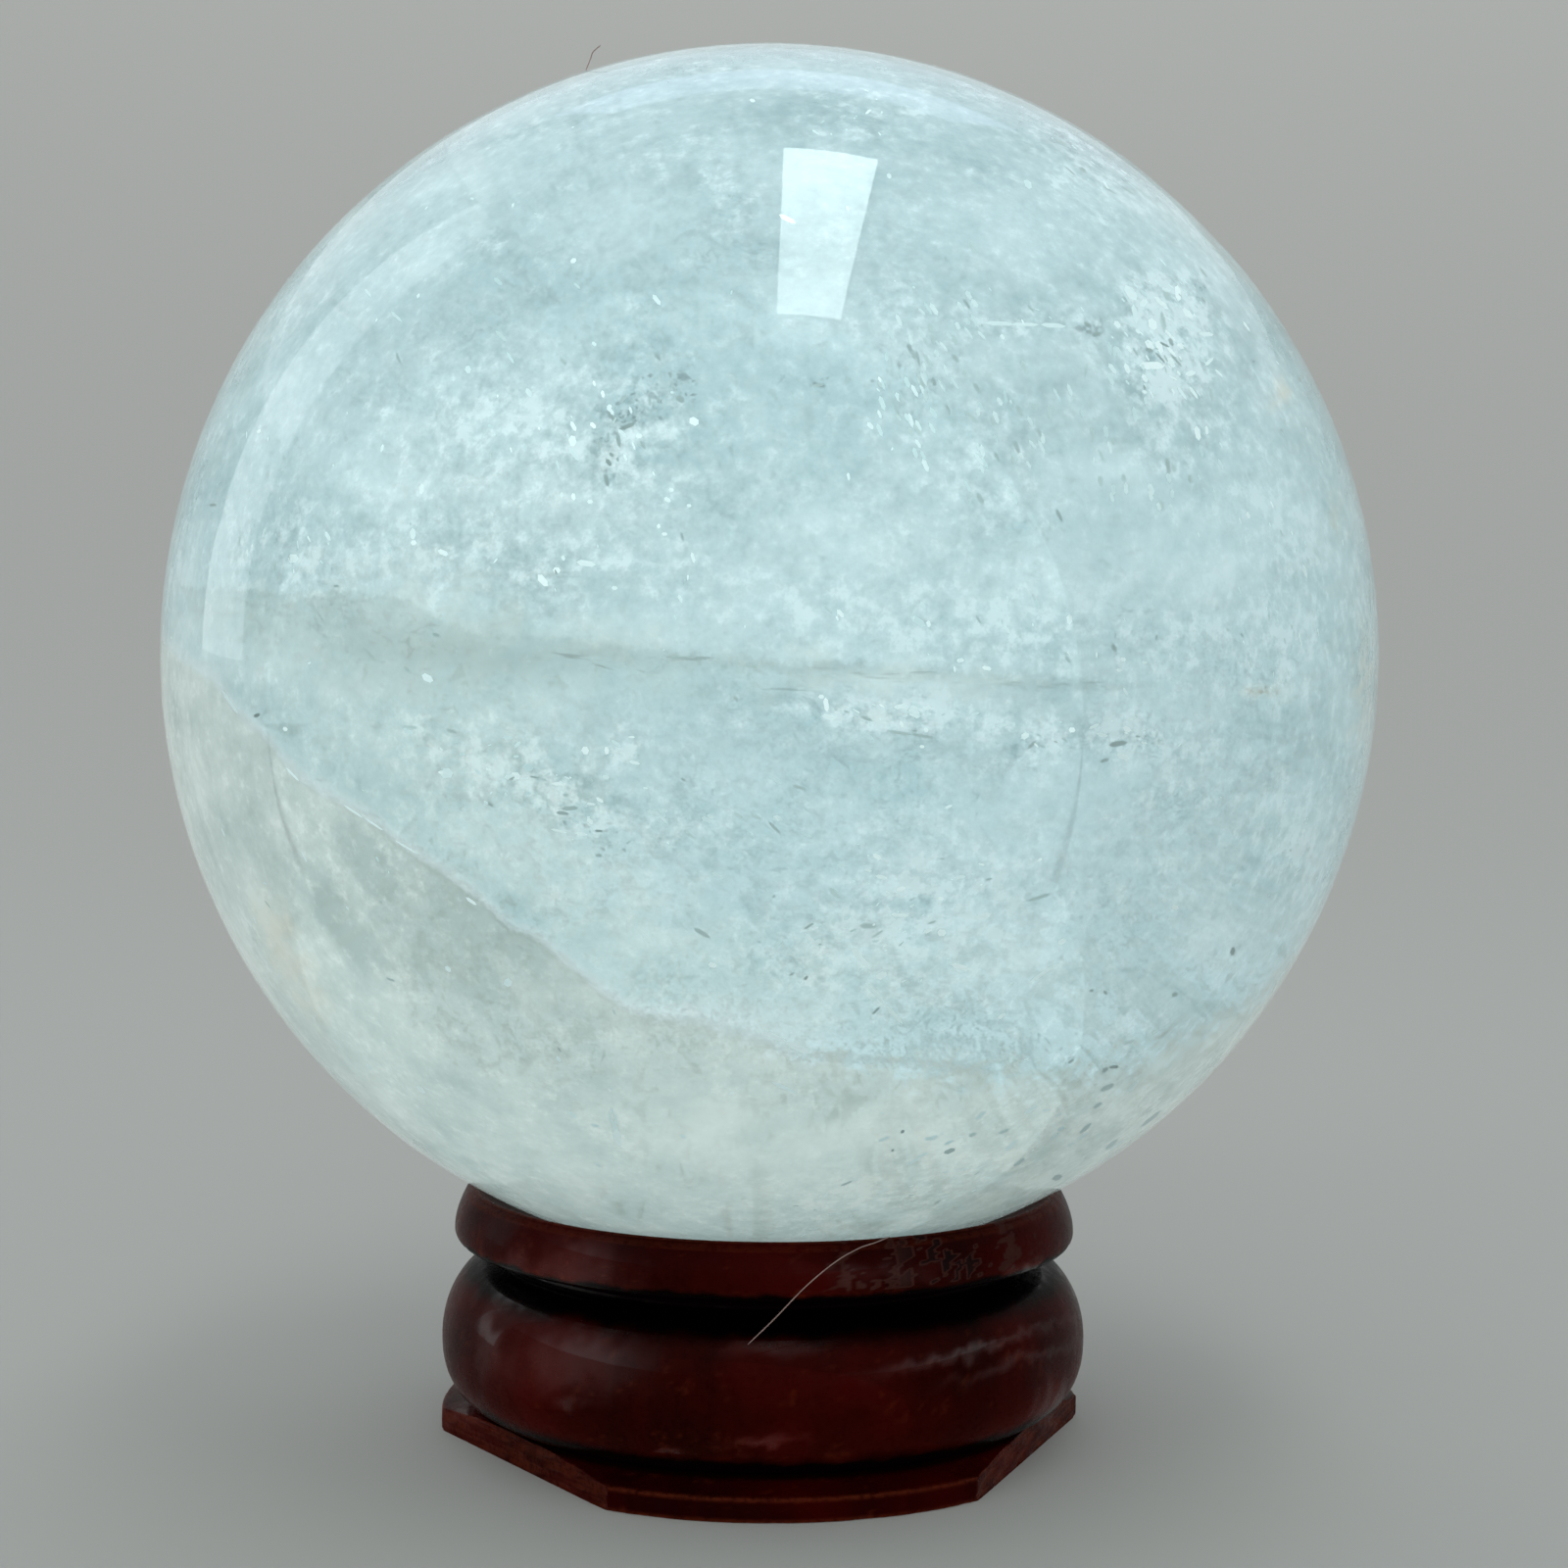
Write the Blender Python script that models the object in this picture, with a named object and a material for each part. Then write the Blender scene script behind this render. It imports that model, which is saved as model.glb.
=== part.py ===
"""A polished quartz sphere resting on a small turned wooden stand.

Metres, +Z up. The origin is the centre of the stand's flat underside. The sphere is one piece of
stone. The stand is one piece of wood: a dished seat, a slanted rim, a deep groove, a round belly
and a thin foot whose disc is sawn off along three flats, which leaves three blunt toes.
"""

import math

import bmesh
import bpy
from mathutils import Matrix

MM = 0.001

# The sphere
BALL_RADIUS = 30.0 * MM
BALL_SEGMENTS = 60
BALL_RINGS = 30

# The seat that the sphere lies in, and the gap between stone and wood
SEAT_GAP = 0.3 * MM
SEAT_STEPS = 7

# The rim: its sharp upper edge, its widest ring and the rounded lip under it
RIM_EDGE_RADIUS = 14.88 * MM
RIM_EDGE_HEIGHT = 12.45 * MM
RIM_WIDE_RADIUS = 15.65 * MM
RIM_WIDE_HEIGHT = 10.25 * MM
LIP_RADIAL = 0.35 * MM
LIP_VERTICAL = 0.45 * MM
LIP_END = math.radians(-75.0)

# The deep groove between rim and belly, with a round bottom
NECK_CENTRE_RADIUS = 13.45 * MM
NECK_CENTRE_HEIGHT = 9.06 * MM
NECK_ROUND = 0.27 * MM

# The belly: an oval ring, fuller below than above
BELLY_CORE_RADIUS = 13.25 * MM
BELLY_MIDDLE_HEIGHT = 4.90 * MM
BELLY_DEPTH = 3.0 * MM
BELLY_RISE = 3.9 * MM
BELLY_DROP = 3.3 * MM
BELLY_UPPER_POWER = 2.0
BELLY_LOWER_POWER = 2.4
BELLY_TOP_ANGLE = math.radians(86.0)
BELLY_LOW_ANGLE = math.radians(76.0)

# The foot: a thin disc under a narrow groove
LOW_GROOVE_RADIUS = 14.0 * MM
LOW_GROOVE_HEIGHT = 1.62 * MM
FOOT_RADIUS = 16.25 * MM
FOOT_SIDE_HEIGHT = 1.0 * MM
FOOT_EASING = 0.15 * MM
FOOT_SHELF_RADIUS = 14.45 * MM
FOOT_SHELF_HEIGHT = 1.5 * MM

# The three flats sawn off the foot
FLAT_COUNT = 3
FLAT_DISTANCE = 14.3 * MM
FLAT_FIRST_ANGLE = math.radians(-23.5)
FLAT_TOP = 1.6 * MM
SAW_BLOCK = 12.0 * MM
SAW_WIDTH = 40.0 * MM

# How finely the turned profile is divided
RIM_STEPS = 5
LIP_STEPS = 4
NECK_STEPS = 4
BELLY_UPPER_STEPS = 8
BELLY_LOWER_STEPS = 7
STAND_SEGMENTS = 64
WELD = 0.001 * MM
SMOOTH_ANGLE = math.radians(35.0)

# The sphere's centre follows from the rim's edge, which lies on the seat's own sphere
SEAT_RADIUS = BALL_RADIUS + SEAT_GAP
BALL_HEIGHT = RIM_EDGE_HEIGHT + math.sqrt(SEAT_RADIUS**2 - RIM_EDGE_RADIUS**2)


def clear_scene():
    """Takes every object out of the open file."""
    for old in list(bpy.data.objects):
        bpy.data.objects.remove(old, do_unlink=True)


def make_material(name, colour, roughness, metallic=0.0):
    """A Principled material with one colour."""
    material = bpy.data.materials.new(name)
    material.use_nodes = True
    shader = material.node_tree.nodes["Principled BSDF"]
    shader.inputs["Base Color"].default_value = (*colour, 1.0)
    shader.inputs["Roughness"].default_value = roughness
    shader.inputs["Metallic"].default_value = metallic
    return material


def add_object(name, mesh_data, material=None):
    """Turns a finished bmesh into a named object in the scene."""
    mesh = bpy.data.meshes.new(name)
    mesh_data.to_mesh(mesh)
    mesh_data.free()
    if material is not None:
        mesh.materials.append(material)
    item = bpy.data.objects.new(name, mesh)
    bpy.context.scene.collection.objects.link(item)
    return item


def oval_arc(centre_radius, centre_height, radial, vertical, start, end, steps, power=2.0):
    """Points (radius, height) along a superellipse, from angle start to angle end.

    Radius = centre + radial * cos^(2/power), height = centre + vertical * sin^(2/power), each with
    the sign of its cosine or sine. Power 2 is a plain ellipse, and a higher one is fuller.
    """
    points = []
    for step in range(steps + 1):
        angle = start + (end - start) * step / steps
        across, up = math.cos(angle), math.sin(angle)
        across = math.copysign(abs(across) ** (2.0 / power), across)
        up = math.copysign(abs(up) ** (2.0 / power), up)
        points.append((centre_radius + radial * across, centre_height + vertical * up))
    return points


def seat_profile():
    """The dish from the axis out to the rim's edge, on a sphere around the ball's centre."""
    edge_angle = math.asin(RIM_EDGE_RADIUS / SEAT_RADIUS)
    points = []
    for step in range(SEAT_STEPS + 1):
        angle = edge_angle * step / SEAT_STEPS
        points.append((SEAT_RADIUS * math.sin(angle), BALL_HEIGHT - SEAT_RADIUS * math.cos(angle)))
    return points


def rim_profile():
    """The slanted face under the rim's edge, a quarter sine, and the rounded lip below it."""
    points = []
    for step in range(1, RIM_STEPS + 1):
        share = step / RIM_STEPS
        swell = math.sin(share * math.pi / 2)
        radius = RIM_EDGE_RADIUS + (RIM_WIDE_RADIUS - RIM_EDGE_RADIUS) * swell
        height = RIM_EDGE_HEIGHT + (RIM_WIDE_HEIGHT - RIM_EDGE_HEIGHT) * share
        points.append((radius, height))
    lip_centre = RIM_WIDE_RADIUS - LIP_RADIAL
    lip = oval_arc(
        lip_centre, RIM_WIDE_HEIGHT, LIP_RADIAL, LIP_VERTICAL, 0.0, LIP_END, LIP_STEPS
    )
    return points + lip[1:]


def neck_profile():
    """The round bottom of the deep groove, a half circle that is hollow towards the outside."""
    quarter = math.pi / 2
    return oval_arc(
        NECK_CENTRE_RADIUS, NECK_CENTRE_HEIGHT, NECK_ROUND, NECK_ROUND,
        quarter, 3 * quarter, NECK_STEPS,
    )


def belly_profile():
    """The belly from the neck over its widest ring down to the low groove."""
    upper = oval_arc(
        BELLY_CORE_RADIUS, BELLY_MIDDLE_HEIGHT, BELLY_DEPTH, BELLY_RISE,
        BELLY_TOP_ANGLE, 0.0, BELLY_UPPER_STEPS, BELLY_UPPER_POWER,
    )
    lower = oval_arc(
        BELLY_CORE_RADIUS, BELLY_MIDDLE_HEIGHT, BELLY_DEPTH, BELLY_DROP,
        0.0, -BELLY_LOW_ANGLE, BELLY_LOWER_STEPS, BELLY_LOWER_POWER,
    )
    return upper + lower[1:]


def foot_profile():
    """The low groove, the foot's sloping shelf, its eased side and its flat underside."""
    return [
        (LOW_GROOVE_RADIUS, LOW_GROOVE_HEIGHT),
        (FOOT_SHELF_RADIUS, FOOT_SHELF_HEIGHT),
        (FOOT_RADIUS - FOOT_EASING, FOOT_SIDE_HEIGHT + FOOT_EASING),
        (FOOT_RADIUS, FOOT_SIDE_HEIGHT),
        (FOOT_RADIUS, FOOT_EASING),
        (FOOT_RADIUS - FOOT_EASING, 0.0),
        (0.0, 0.0),
    ]


def make_ball():
    """The polished sphere, standing on its pole above the middle of the seat."""
    ball = bmesh.new()
    bmesh.ops.create_uvsphere(
        ball,
        u_segments=BALL_SEGMENTS,
        v_segments=BALL_RINGS,
        radius=BALL_RADIUS,
        matrix=Matrix.Translation((0.0, 0.0, BALL_HEIGHT)),
    )
    stone = make_material("polished_quartz", (0.78, 0.87, 0.86), 0.04)
    item = add_object("quartz_sphere", ball, stone)
    item.data.shade_smooth()
    return item


def make_saw_block(index):
    """A wire block whose inner face is one flat of the foot. It is centred on the underside."""
    turn = FLAT_FIRST_ANGLE + index * 2 * math.pi / FLAT_COUNT
    size = Matrix.Diagonal((SAW_BLOCK, SAW_WIDTH, 2 * FLAT_TOP, 1.0))
    place = Matrix.Translation((FLAT_DISTANCE + SAW_BLOCK / 2, 0.0, 0.0))
    block = bmesh.new()
    bmesh.ops.create_cube(block, size=1.0, matrix=Matrix.Rotation(turn, 4, "Z") @ place @ size)
    item = add_object(f"saw_block_{index + 1}", block)
    item.hide_render = True
    item.display_type = "WIRE"
    return item


def make_stand():
    """The turned stand: its profile spun round the axis, with the flats sawn off its foot."""
    profile = seat_profile() + rim_profile() + neck_profile() + belly_profile() + foot_profile()
    stand = bmesh.new()
    corners = [stand.verts.new((radius, 0.0, height)) for radius, height in profile]
    edges = [stand.edges.new(pair) for pair in zip(corners, corners[1:])]
    bmesh.ops.spin(
        stand,
        geom=corners + edges,
        cent=(0.0, 0.0, 0.0),
        axis=(0.0, 0.0, 1.0),
        angle=2 * math.pi,
        steps=STAND_SEGMENTS,
    )
    bmesh.ops.remove_doubles(stand, verts=stand.verts, dist=WELD)
    bmesh.ops.recalc_face_normals(stand, faces=stand.faces)
    wood = make_material("lacquered_wood", (0.07, 0.010, 0.007), 0.28)
    item = add_object("wood_stand", stand, wood)
    item.data.shade_smooth()
    item.data.set_sharp_from_angle(angle=SMOOTH_ANGLE)
    for index in range(FLAT_COUNT):
        cut = item.modifiers.new(f"flat_{index + 1}", "BOOLEAN")
        cut.operation = "DIFFERENCE"
        cut.object = make_saw_block(index)
    return item


clear_scene()
make_ball()
make_stand()
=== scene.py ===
# %% [markdown]
# # A quartz sphere on its turned stand
#
# The object is a ball of milky quartz, ground round and polished, that rests in the dished seat of a
# small turned wooden ring stand. This lesson dresses the two solids of the model: the stand gets its
# fine profile, its lacquer and its worn edges. The ball gets a polished skin with flakes and nicks
# set into it, and under it the haze, veils and specks of real quartz. The model comes first, as a
# fixed frame.

import math

import bpy
import numpy as np
from mathutils import Matrix, Vector


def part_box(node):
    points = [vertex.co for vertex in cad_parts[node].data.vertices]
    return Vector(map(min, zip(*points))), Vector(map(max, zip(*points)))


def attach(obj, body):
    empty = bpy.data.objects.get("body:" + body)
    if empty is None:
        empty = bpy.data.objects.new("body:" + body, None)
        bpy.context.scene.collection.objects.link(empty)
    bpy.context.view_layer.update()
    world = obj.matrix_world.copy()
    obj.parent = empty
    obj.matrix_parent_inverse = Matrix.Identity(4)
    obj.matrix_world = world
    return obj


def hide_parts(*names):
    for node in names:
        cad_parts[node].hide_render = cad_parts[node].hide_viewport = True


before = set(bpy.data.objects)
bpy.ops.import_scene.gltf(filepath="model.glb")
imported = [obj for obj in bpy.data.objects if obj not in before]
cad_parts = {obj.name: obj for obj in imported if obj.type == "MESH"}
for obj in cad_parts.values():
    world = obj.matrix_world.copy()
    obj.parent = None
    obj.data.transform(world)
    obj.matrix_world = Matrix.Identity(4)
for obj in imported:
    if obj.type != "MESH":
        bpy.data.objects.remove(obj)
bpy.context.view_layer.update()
MM = 0.001
print("nodes:", sorted(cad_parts))

# %% [markdown]
# ## Sizes that everything follows
#
# The ball's middle and radius are read from the frame, so that the skin and all that lies under it
# stay where the model has them. The stand's own sizes come where its profile is drawn.

# %% Read the ball and the stand from the frame
ball_low, ball_high = (np.array(corner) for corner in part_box("quartz_sphere"))
stand_height = float(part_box("wood_stand")[1][2])
BALL_RADIUS = float(ball_high[2] - ball_low[2]) / 2
BALL_CENTRE = (ball_low + ball_high) / 2
print("ball radius, mm:", round(BALL_RADIUS / MM, 3),
      "centre height:", round(float(BALL_CENTRE[2]) / MM, 3))
print("stand height, mm:", round(stand_height / MM, 3))

# %% [markdown]
# ## The camera
#
# The picture was taken from close by, a little above the middle of the ball, and the camera was
# turned by a little more than half a degree. It could be aimed with a Track To constraint, but then
# its directions would have to be read back. Here the three directions are worked out first, and they
# set the camera now and follow rays later.

# %% Place the camera
PICTURE = 1600
LENS = 58.5
SENSOR = 36.0
CAMERA_AT = np.array([0.76, -129.03, 37.516]) * MM
CAMERA_PITCH = -0.0383
CAMERA_ROLL = 0.0109

focal = PICTURE * LENS / SENSOR
ahead = np.array([0.0, math.cos(CAMERA_PITCH), math.sin(CAMERA_PITCH)])
level_up = np.array([0.0, -math.sin(CAMERA_PITCH), math.cos(CAMERA_PITCH)])
level_right = np.array([1.0, 0.0, 0.0])

camera_data = bpy.data.cameras.new("photo_camera")
camera_data.lens = LENS
camera_data.sensor_width = SENSOR
camera_data.clip_start = 1 * MM
camera_data.clip_end = 10.0
camera = bpy.data.objects.new("photo_camera", camera_data)
bpy.context.scene.collection.objects.link(camera)
level = Matrix((level_right, level_up, -ahead)).transposed().to_4x4()
camera.matrix_world = (
    Matrix.Translation(Vector(CAMERA_AT)) @ level @ Matrix.Rotation(CAMERA_ROLL, 4, "Z")
)
bpy.context.scene.camera = camera
print("camera distance from the ball's middle, mm:",
      round(float(np.linalg.norm(CAMERA_AT - BALL_CENTRE)) / MM, 1))

# %% [markdown]
# ### From the picture into the stone
#
# A place in the picture is a ray from the camera. Where it meets the ball it is bent, because light
# is slower in quartz, and it goes on to the far side. So a grain can be put inside the ball where
# the picture shows it. It could be tried by eye, but there are hundreds of such places.

# %% Turn a place in the picture into a ray and follow it into the stone
QUARTZ_IOR = 1.544


def unit(vectors):
    """Each vector divided by its length."""
    return vectors / np.linalg.norm(vectors, axis=-1, keepdims=True)


def picture_rays(across, down):
    """Unit directions from the camera through places of the 1600 x 1600 picture.

    The place is taken from the picture's middle and turned back by the camera's roll. The direction
    is ahead + right * across / focal - up * down / focal, divided by its length.
    """
    across = np.asarray(across, float) - PICTURE / 2
    down = np.asarray(down, float) - PICTURE / 2
    turned_across = math.cos(CAMERA_ROLL) * across + math.sin(CAMERA_ROLL) * down
    turned_down = -math.sin(CAMERA_ROLL) * across + math.cos(CAMERA_ROLL) * down
    rays = ahead + np.multiply.outer(turned_across / focal, level_right)
    return unit(rays - np.multiply.outer(turned_down / focal, level_up))


def picture_place(points):
    """Where points show in the picture: the way back from picture_rays."""
    way = points - CAMERA_AT
    depth = way @ ahead
    turned_across = focal * (way @ level_right) / depth
    turned_down = -focal * (way @ level_up) / depth
    across = math.cos(CAMERA_ROLL) * turned_across - math.sin(CAMERA_ROLL) * turned_down
    down = math.sin(CAMERA_ROLL) * turned_across + math.cos(CAMERA_ROLL) * turned_down
    return across + PICTURE / 2, down + PICTURE / 2


def skin_point(across, down):
    """Where the rays of picture_rays meet the ball, and the rays.

    It is the nearer root t of |camera + t ray - centre| = R. A ray that misses goes to its nearest
    place.
    """
    rays = picture_rays(across, down)
    start = CAMERA_AT - BALL_CENTRE
    along = rays @ start
    inside = np.maximum(along**2 - start @ start + BALL_RADIUS**2, 0.0)
    return CAMERA_AT + rays * (-along - np.sqrt(inside))[..., None], rays


def stone_point(across, down, depth):
    """Points inside the ball that are seen at a place of the picture.

    The ray is bent at the skin to ray / n + (cos in / n - cos out) * normal, with n for quartz, and
    depth is the share of the way from the skin to the far side.
    """
    skin, rays = skin_point(across, down)
    normal = (skin - BALL_CENTRE) / BALL_RADIUS
    cos_in = -(rays * normal).sum(-1, keepdims=True)
    cos_out = np.sqrt(1 - (1 - cos_in**2) / QUARTZ_IOR**2)
    bent = rays / QUARTZ_IOR + (cos_in / QUARTZ_IOR - cos_out) * normal
    chord = 2 * BALL_RADIUS * cos_out
    return skin + bent * chord * np.asarray(depth, float)[..., None]


element = np.linalg.norm(skin_point(800, 700)[0] - skin_point(801, 700)[0])
print("one picture element on the ball, mm:", round(float(element) / MM, 4))

# %% [markdown]
# ## Floor and light
#
# Polished quartz shows its lights: one lies on its upper face as a bright four-sided patch, broad
# ones behind and above draw a crescent along its top, and a tall one at the left draws a pale band.
# Each is a rectangular lamp that stands where the reflection asks for it. The floor is a pale sheet
# that rises in a wide bowl all round, so that it has no edge from any side.

# %% Stage: a pale sheet
SHEET_FLAT = 0.10
SHEET_RISE = 0.19
SHEET_REACH = 2.4
SHEET_CROWDING = 1.5
SHEET_RINGS = 48
SHEET_SPOKES = 96


def pour_faces(rows, columns):
    """Quads of a closed band of rows x columns points, seen from outside when rows run upwards."""
    row = np.arange(rows - 1)[:, None]
    column = np.arange(columns)[None, :]
    after = (column + 1) % columns
    quads = [row * columns + column, row * columns + after,
             (row + 1) * columns + after, (row + 1) * columns + column]
    return np.stack(quads, -1).reshape(-1, 4)


def fan_faces(middle, first, columns, onwards):
    """Triangles from the point numbered middle to the ring of points that starts at number first."""
    column = np.arange(columns)
    after = (column + 1) % columns
    pair = (column, after) if onwards else (after, column)
    return np.stack([np.full(columns, middle), first + pair[0], first + pair[1]], -1)


def closed_faces(rows, columns, rising=True):
    """A band with a fan at each end. The fans' middles are the two points after the band's own.

    All faces point outwards when rows run upwards, and are turned round for rows that run down.
    """
    middle = rows * columns
    band = pour_faces(rows, columns)
    return [band if rising else band[:, ::-1],
            fan_faces(middle, 0, columns, not rising),
            fan_faces(middle + 1, middle - columns, columns, rising)]


def make_mesh(name, points, faces, smooth=True):
    """Puts points (n, 3) and lists of equal-sided faces into a new mesh object at the origin."""
    mesh = bpy.data.meshes.new(name)
    corners = np.concatenate([group.ravel() for group in faces]).astype(np.int32)
    sides = np.concatenate([np.full(len(group), group.shape[1]) for group in faces])
    starts = np.concatenate([[0], np.cumsum(sides)[:-1]]).astype(np.int32)
    mesh.vertices.add(len(points))
    mesh.vertices.foreach_set("co", np.asarray(points, np.float32).ravel())
    mesh.loops.add(len(corners))
    mesh.loops.foreach_set("vertex_index", corners)
    mesh.polygons.add(len(starts))
    mesh.polygons.foreach_set("loop_start", starts)
    mesh.polygons.foreach_set("use_smooth", np.full(len(starts), smooth))
    mesh.update(calc_edges=True)
    item = bpy.data.objects.new(name, mesh)
    bpy.context.scene.collection.objects.link(item)
    return item


def ring_points(radius, height, angles):
    """Rows of points round the axis: (radius cos a, radius sin a, height) for each row and angle."""
    radius = np.asarray(radius, float)
    if radius.ndim == 1:
        radius = radius[:, None] * np.ones_like(angles)
    height = np.broadcast_to(np.asarray(height, float).reshape(len(radius), -1), radius.shape)
    return np.stack([radius * np.cos(angles), radius * np.sin(angles), height], -1).reshape(-1, 3)


def make_sheet():
    """Flat at first, then height = rise * (radius - flat radius) squared."""
    share = np.linspace(0, 1, SHEET_RINGS) ** SHEET_CROWDING
    radius = np.maximum(SHEET_REACH * share, 1 * MM)
    height = SHEET_RISE * np.maximum(radius - SHEET_FLAT, 0) ** 2
    angles = np.linspace(0, 2 * math.pi, SHEET_SPOKES, endpoint=False)
    points = np.concatenate([ring_points(radius, height, angles), [[0, 0, 0]]])
    fan = fan_faces(len(points) - 1, 0, SHEET_SPOKES, True)
    sheet = make_mesh("pale_sheet", points, [pour_faces(SHEET_RINGS, SHEET_SPOKES), fan])
    paper = bpy.data.materials.new("pale_paper")
    paper.use_nodes = True
    shader = paper.node_tree.nodes["Principled BSDF"]
    shader.inputs["Base Color"].default_value = (0.36, 0.35, 0.335, 1)
    shader.inputs["Roughness"].default_value = 0.9
    shader.inputs["Specular IOR Level"].default_value = 0.2
    sheet.data.materials.append(paper)
    return sheet


sheet = make_sheet()
print("sheet faces:", len(sheet.data.polygons))

# %% Lamps and sky
SKY_LOW = (0.70, 0.72, 0.72)
SKY_HIGH = (0.64, 0.69, 0.71)
SKY_FADE = (0.25, 0.95)


def make_lamp(name, corner, side, rise, brightness, colour, seen_through):
    """A flat lamp spanned by two edges from a corner. Its power is brightness * pi * area.

    A lamp that isn't seen through the stone leaves no sharp patch in it.
    """
    corner, side, rise = (Vector(edge) for edge in (corner, side, rise))
    data = bpy.data.lights.new(name, "AREA")
    data.shape = "RECTANGLE"
    data.size = side.length
    data.size_y = rise.length
    data.energy = brightness * math.pi * side.length * rise.length
    data.color = colour
    lamp = bpy.data.objects.new(name, data)
    bpy.context.scene.collection.objects.link(lamp)
    middle = corner + side / 2 + rise / 2
    facing = side.cross(rise).normalized()
    if facing.dot(Vector(BALL_CENTRE) - middle) > 0:
        side = -side
        facing = -facing
    turn = Matrix((side.normalized(), rise.normalized(), facing)).transposed().to_4x4()
    lamp.matrix_world = Matrix.Translation(middle) @ turn
    lamp.visible_camera = False
    lamp.visible_transmission = seen_through


LAMPS = {  # corner, side and rise in metres, brightness, colour, seen through the stone
    "upper_patch": ((0.0075, -0.289, 0.54), (0.094, 0, 0), (0, 0.369, 0), 4.6, (0.84, 1.0, 1.0), True),
    "top_back": ((-0.15, 0.30, 0.40), (0.31, 0, 0), (0, 0, 0.14), 0.62, (0.66, 0.76, 1.0), False),
    "low_back": ((-0.17, 0.31, 0.25), (0.34, 0, 0), (0, 0, 0.30), 0.16, (0.8, 0.85, 1.0), False),
    "left_tall": ((-0.50, 0.14, -0.02), (0, 0.18, 0), (0, 0.02, 0.82), 0.85, (0.9, 0.98, 1.0), False),
}
for lamp_name, values in LAMPS.items():
    make_lamp(lamp_name, *values)


GLOW_COLOUR = (0.92, 1.0, 1.0)
GLOW_WIDTH = math.radians(110)


def make_glow(name, azimuth, elevation, strength):
    """A very wide sun for dull surfaces. It casts no shadow, so it also reaches the grains inside."""
    data = bpy.data.lights.new(name, "SUN")
    data.energy = strength
    data.angle = GLOW_WIDTH
    data.color = GLOW_COLOUR
    data.use_shadow = False
    glow = bpy.data.objects.new(name, data)
    bpy.context.scene.collection.objects.link(glow)
    glow.rotation_euler = (math.radians(90 - elevation), 0, math.radians(azimuth))
    glow.visible_glossy = False
    glow.visible_transmission = False


make_glow("front_glow", -10, -6, 3.3)
make_glow("back_glow", 170, 8, 1.4)
make_glow("floor_glow", -10, -35, 2.4)


def make_sky():
    """A dome that goes from the low colour near the horizon to the high colour overhead."""
    sky = bpy.data.worlds.new("studio_sky")
    sky.use_nodes = True
    tree = sky.node_tree
    way = tree.nodes.new("ShaderNodeTexCoord")
    parts = tree.nodes.new("ShaderNodeSeparateXYZ")
    lift = tree.nodes.new("ShaderNodeMapRange")
    lift.interpolation_type = "SMOOTHSTEP"
    lift.inputs["From Min"].default_value = SKY_FADE[0]
    lift.inputs["From Max"].default_value = SKY_FADE[1]
    mix = tree.nodes.new("ShaderNodeMix")
    mix.data_type = "RGBA"
    mix.inputs[6].default_value = (*SKY_LOW, 1)
    mix.inputs[7].default_value = (*SKY_HIGH, 1)
    tree.links.new(way.outputs["Generated"], parts.inputs[0])
    tree.links.new(parts.outputs["Z"], lift.inputs["Value"])
    tree.links.new(lift.outputs[0], mix.inputs[0])
    tree.links.new(mix.outputs[2], tree.nodes["Background"].inputs["Color"])
    return sky


bpy.context.scene.world = make_sky()
bpy.context.scene.view_settings.view_transform = "Standard"
limits = bpy.context.scene.cycles
limits.max_bounces = 6
limits.diffuse_bounces = 2
limits.glossy_bounces = 2
limits.transmission_bounces = 6
print("lamps:", len(LAMPS), "bounces at most:", limits.max_bounces)

# %% [markdown]
# ## Helpers for materials
#
# Every finish here is built from a few kinds of node. These helpers add one node each and give back
# the socket that the next one reads, so that a material can be read like a recipe.


# %% Node helpers
def new_finish(name):
    """A new Principled material: the material, its node tree and its shader."""
    material = bpy.data.materials.new(name)
    material.use_nodes = True
    return material, material.node_tree, material.node_tree.nodes["Principled BSDF"]


def set_inputs(node, values):
    """Sets or links each input of a node by its name or number."""
    for key, value in values.items():
        if isinstance(value, bpy.types.NodeSocket):
            node.id_data.links.new(value, node.inputs[key])
        else:
            node.inputs[key].default_value = value


def object_place(tree, centre=(0, 0, 0), stretch=(1, 1, 1)):
    """Object coordinates, taken from a centre and stretched."""
    source = tree.nodes.new("ShaderNodeTexCoord")
    shift = tree.nodes.new("ShaderNodeMapping")
    shift.vector_type = "TEXTURE"
    set_inputs(shift, {"Vector": source.outputs["Object"], "Location": centre, "Scale": stretch})
    return shift.outputs[0]


def noise(tree, where, size, detail=3.0, rough=0.5, warp=0.0):
    """Cloudy noise from 0 to 1 whose lumps are about size metres across."""
    node = tree.nodes.new("ShaderNodeTexNoise")
    set_inputs(node, {"Vector": where, "Scale": 1 / size, "Detail": detail, "Roughness": rough,
                      "Distortion": warp})
    return node.outputs["Fac"]


def maths(tree, kind, first, second=0.0, third=0.0, clamp=False):
    """One Math node."""
    node = tree.nodes.new("ShaderNodeMath")
    node.operation = kind
    node.use_clamp = clamp
    set_inputs(node, {0: first, 1: second, 2: third})
    return node.outputs[0]


def step_between(tree, value, low, high):
    """0 below low, 1 above high and a smooth step between them."""
    node = tree.nodes.new("ShaderNodeMapRange")
    node.interpolation_type = "SMOOTHSTEP"
    set_inputs(node, {"Value": value, "From Min": low, "From Max": high})
    return node.outputs[0]


def blend(tree, share, first, second):
    """Mixes two colours."""
    node = tree.nodes.new("ShaderNodeMix")
    node.data_type = "RGBA"
    pick = {"Factor": 0, "A": 6, "B": 7}
    for key, value in (("Factor", share), ("A", first), ("B", second)):
        if isinstance(value, tuple):
            value = (*value, 1.0)
        set_inputs(node, {pick[key]: value})
    return node.outputs[2]


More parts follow.
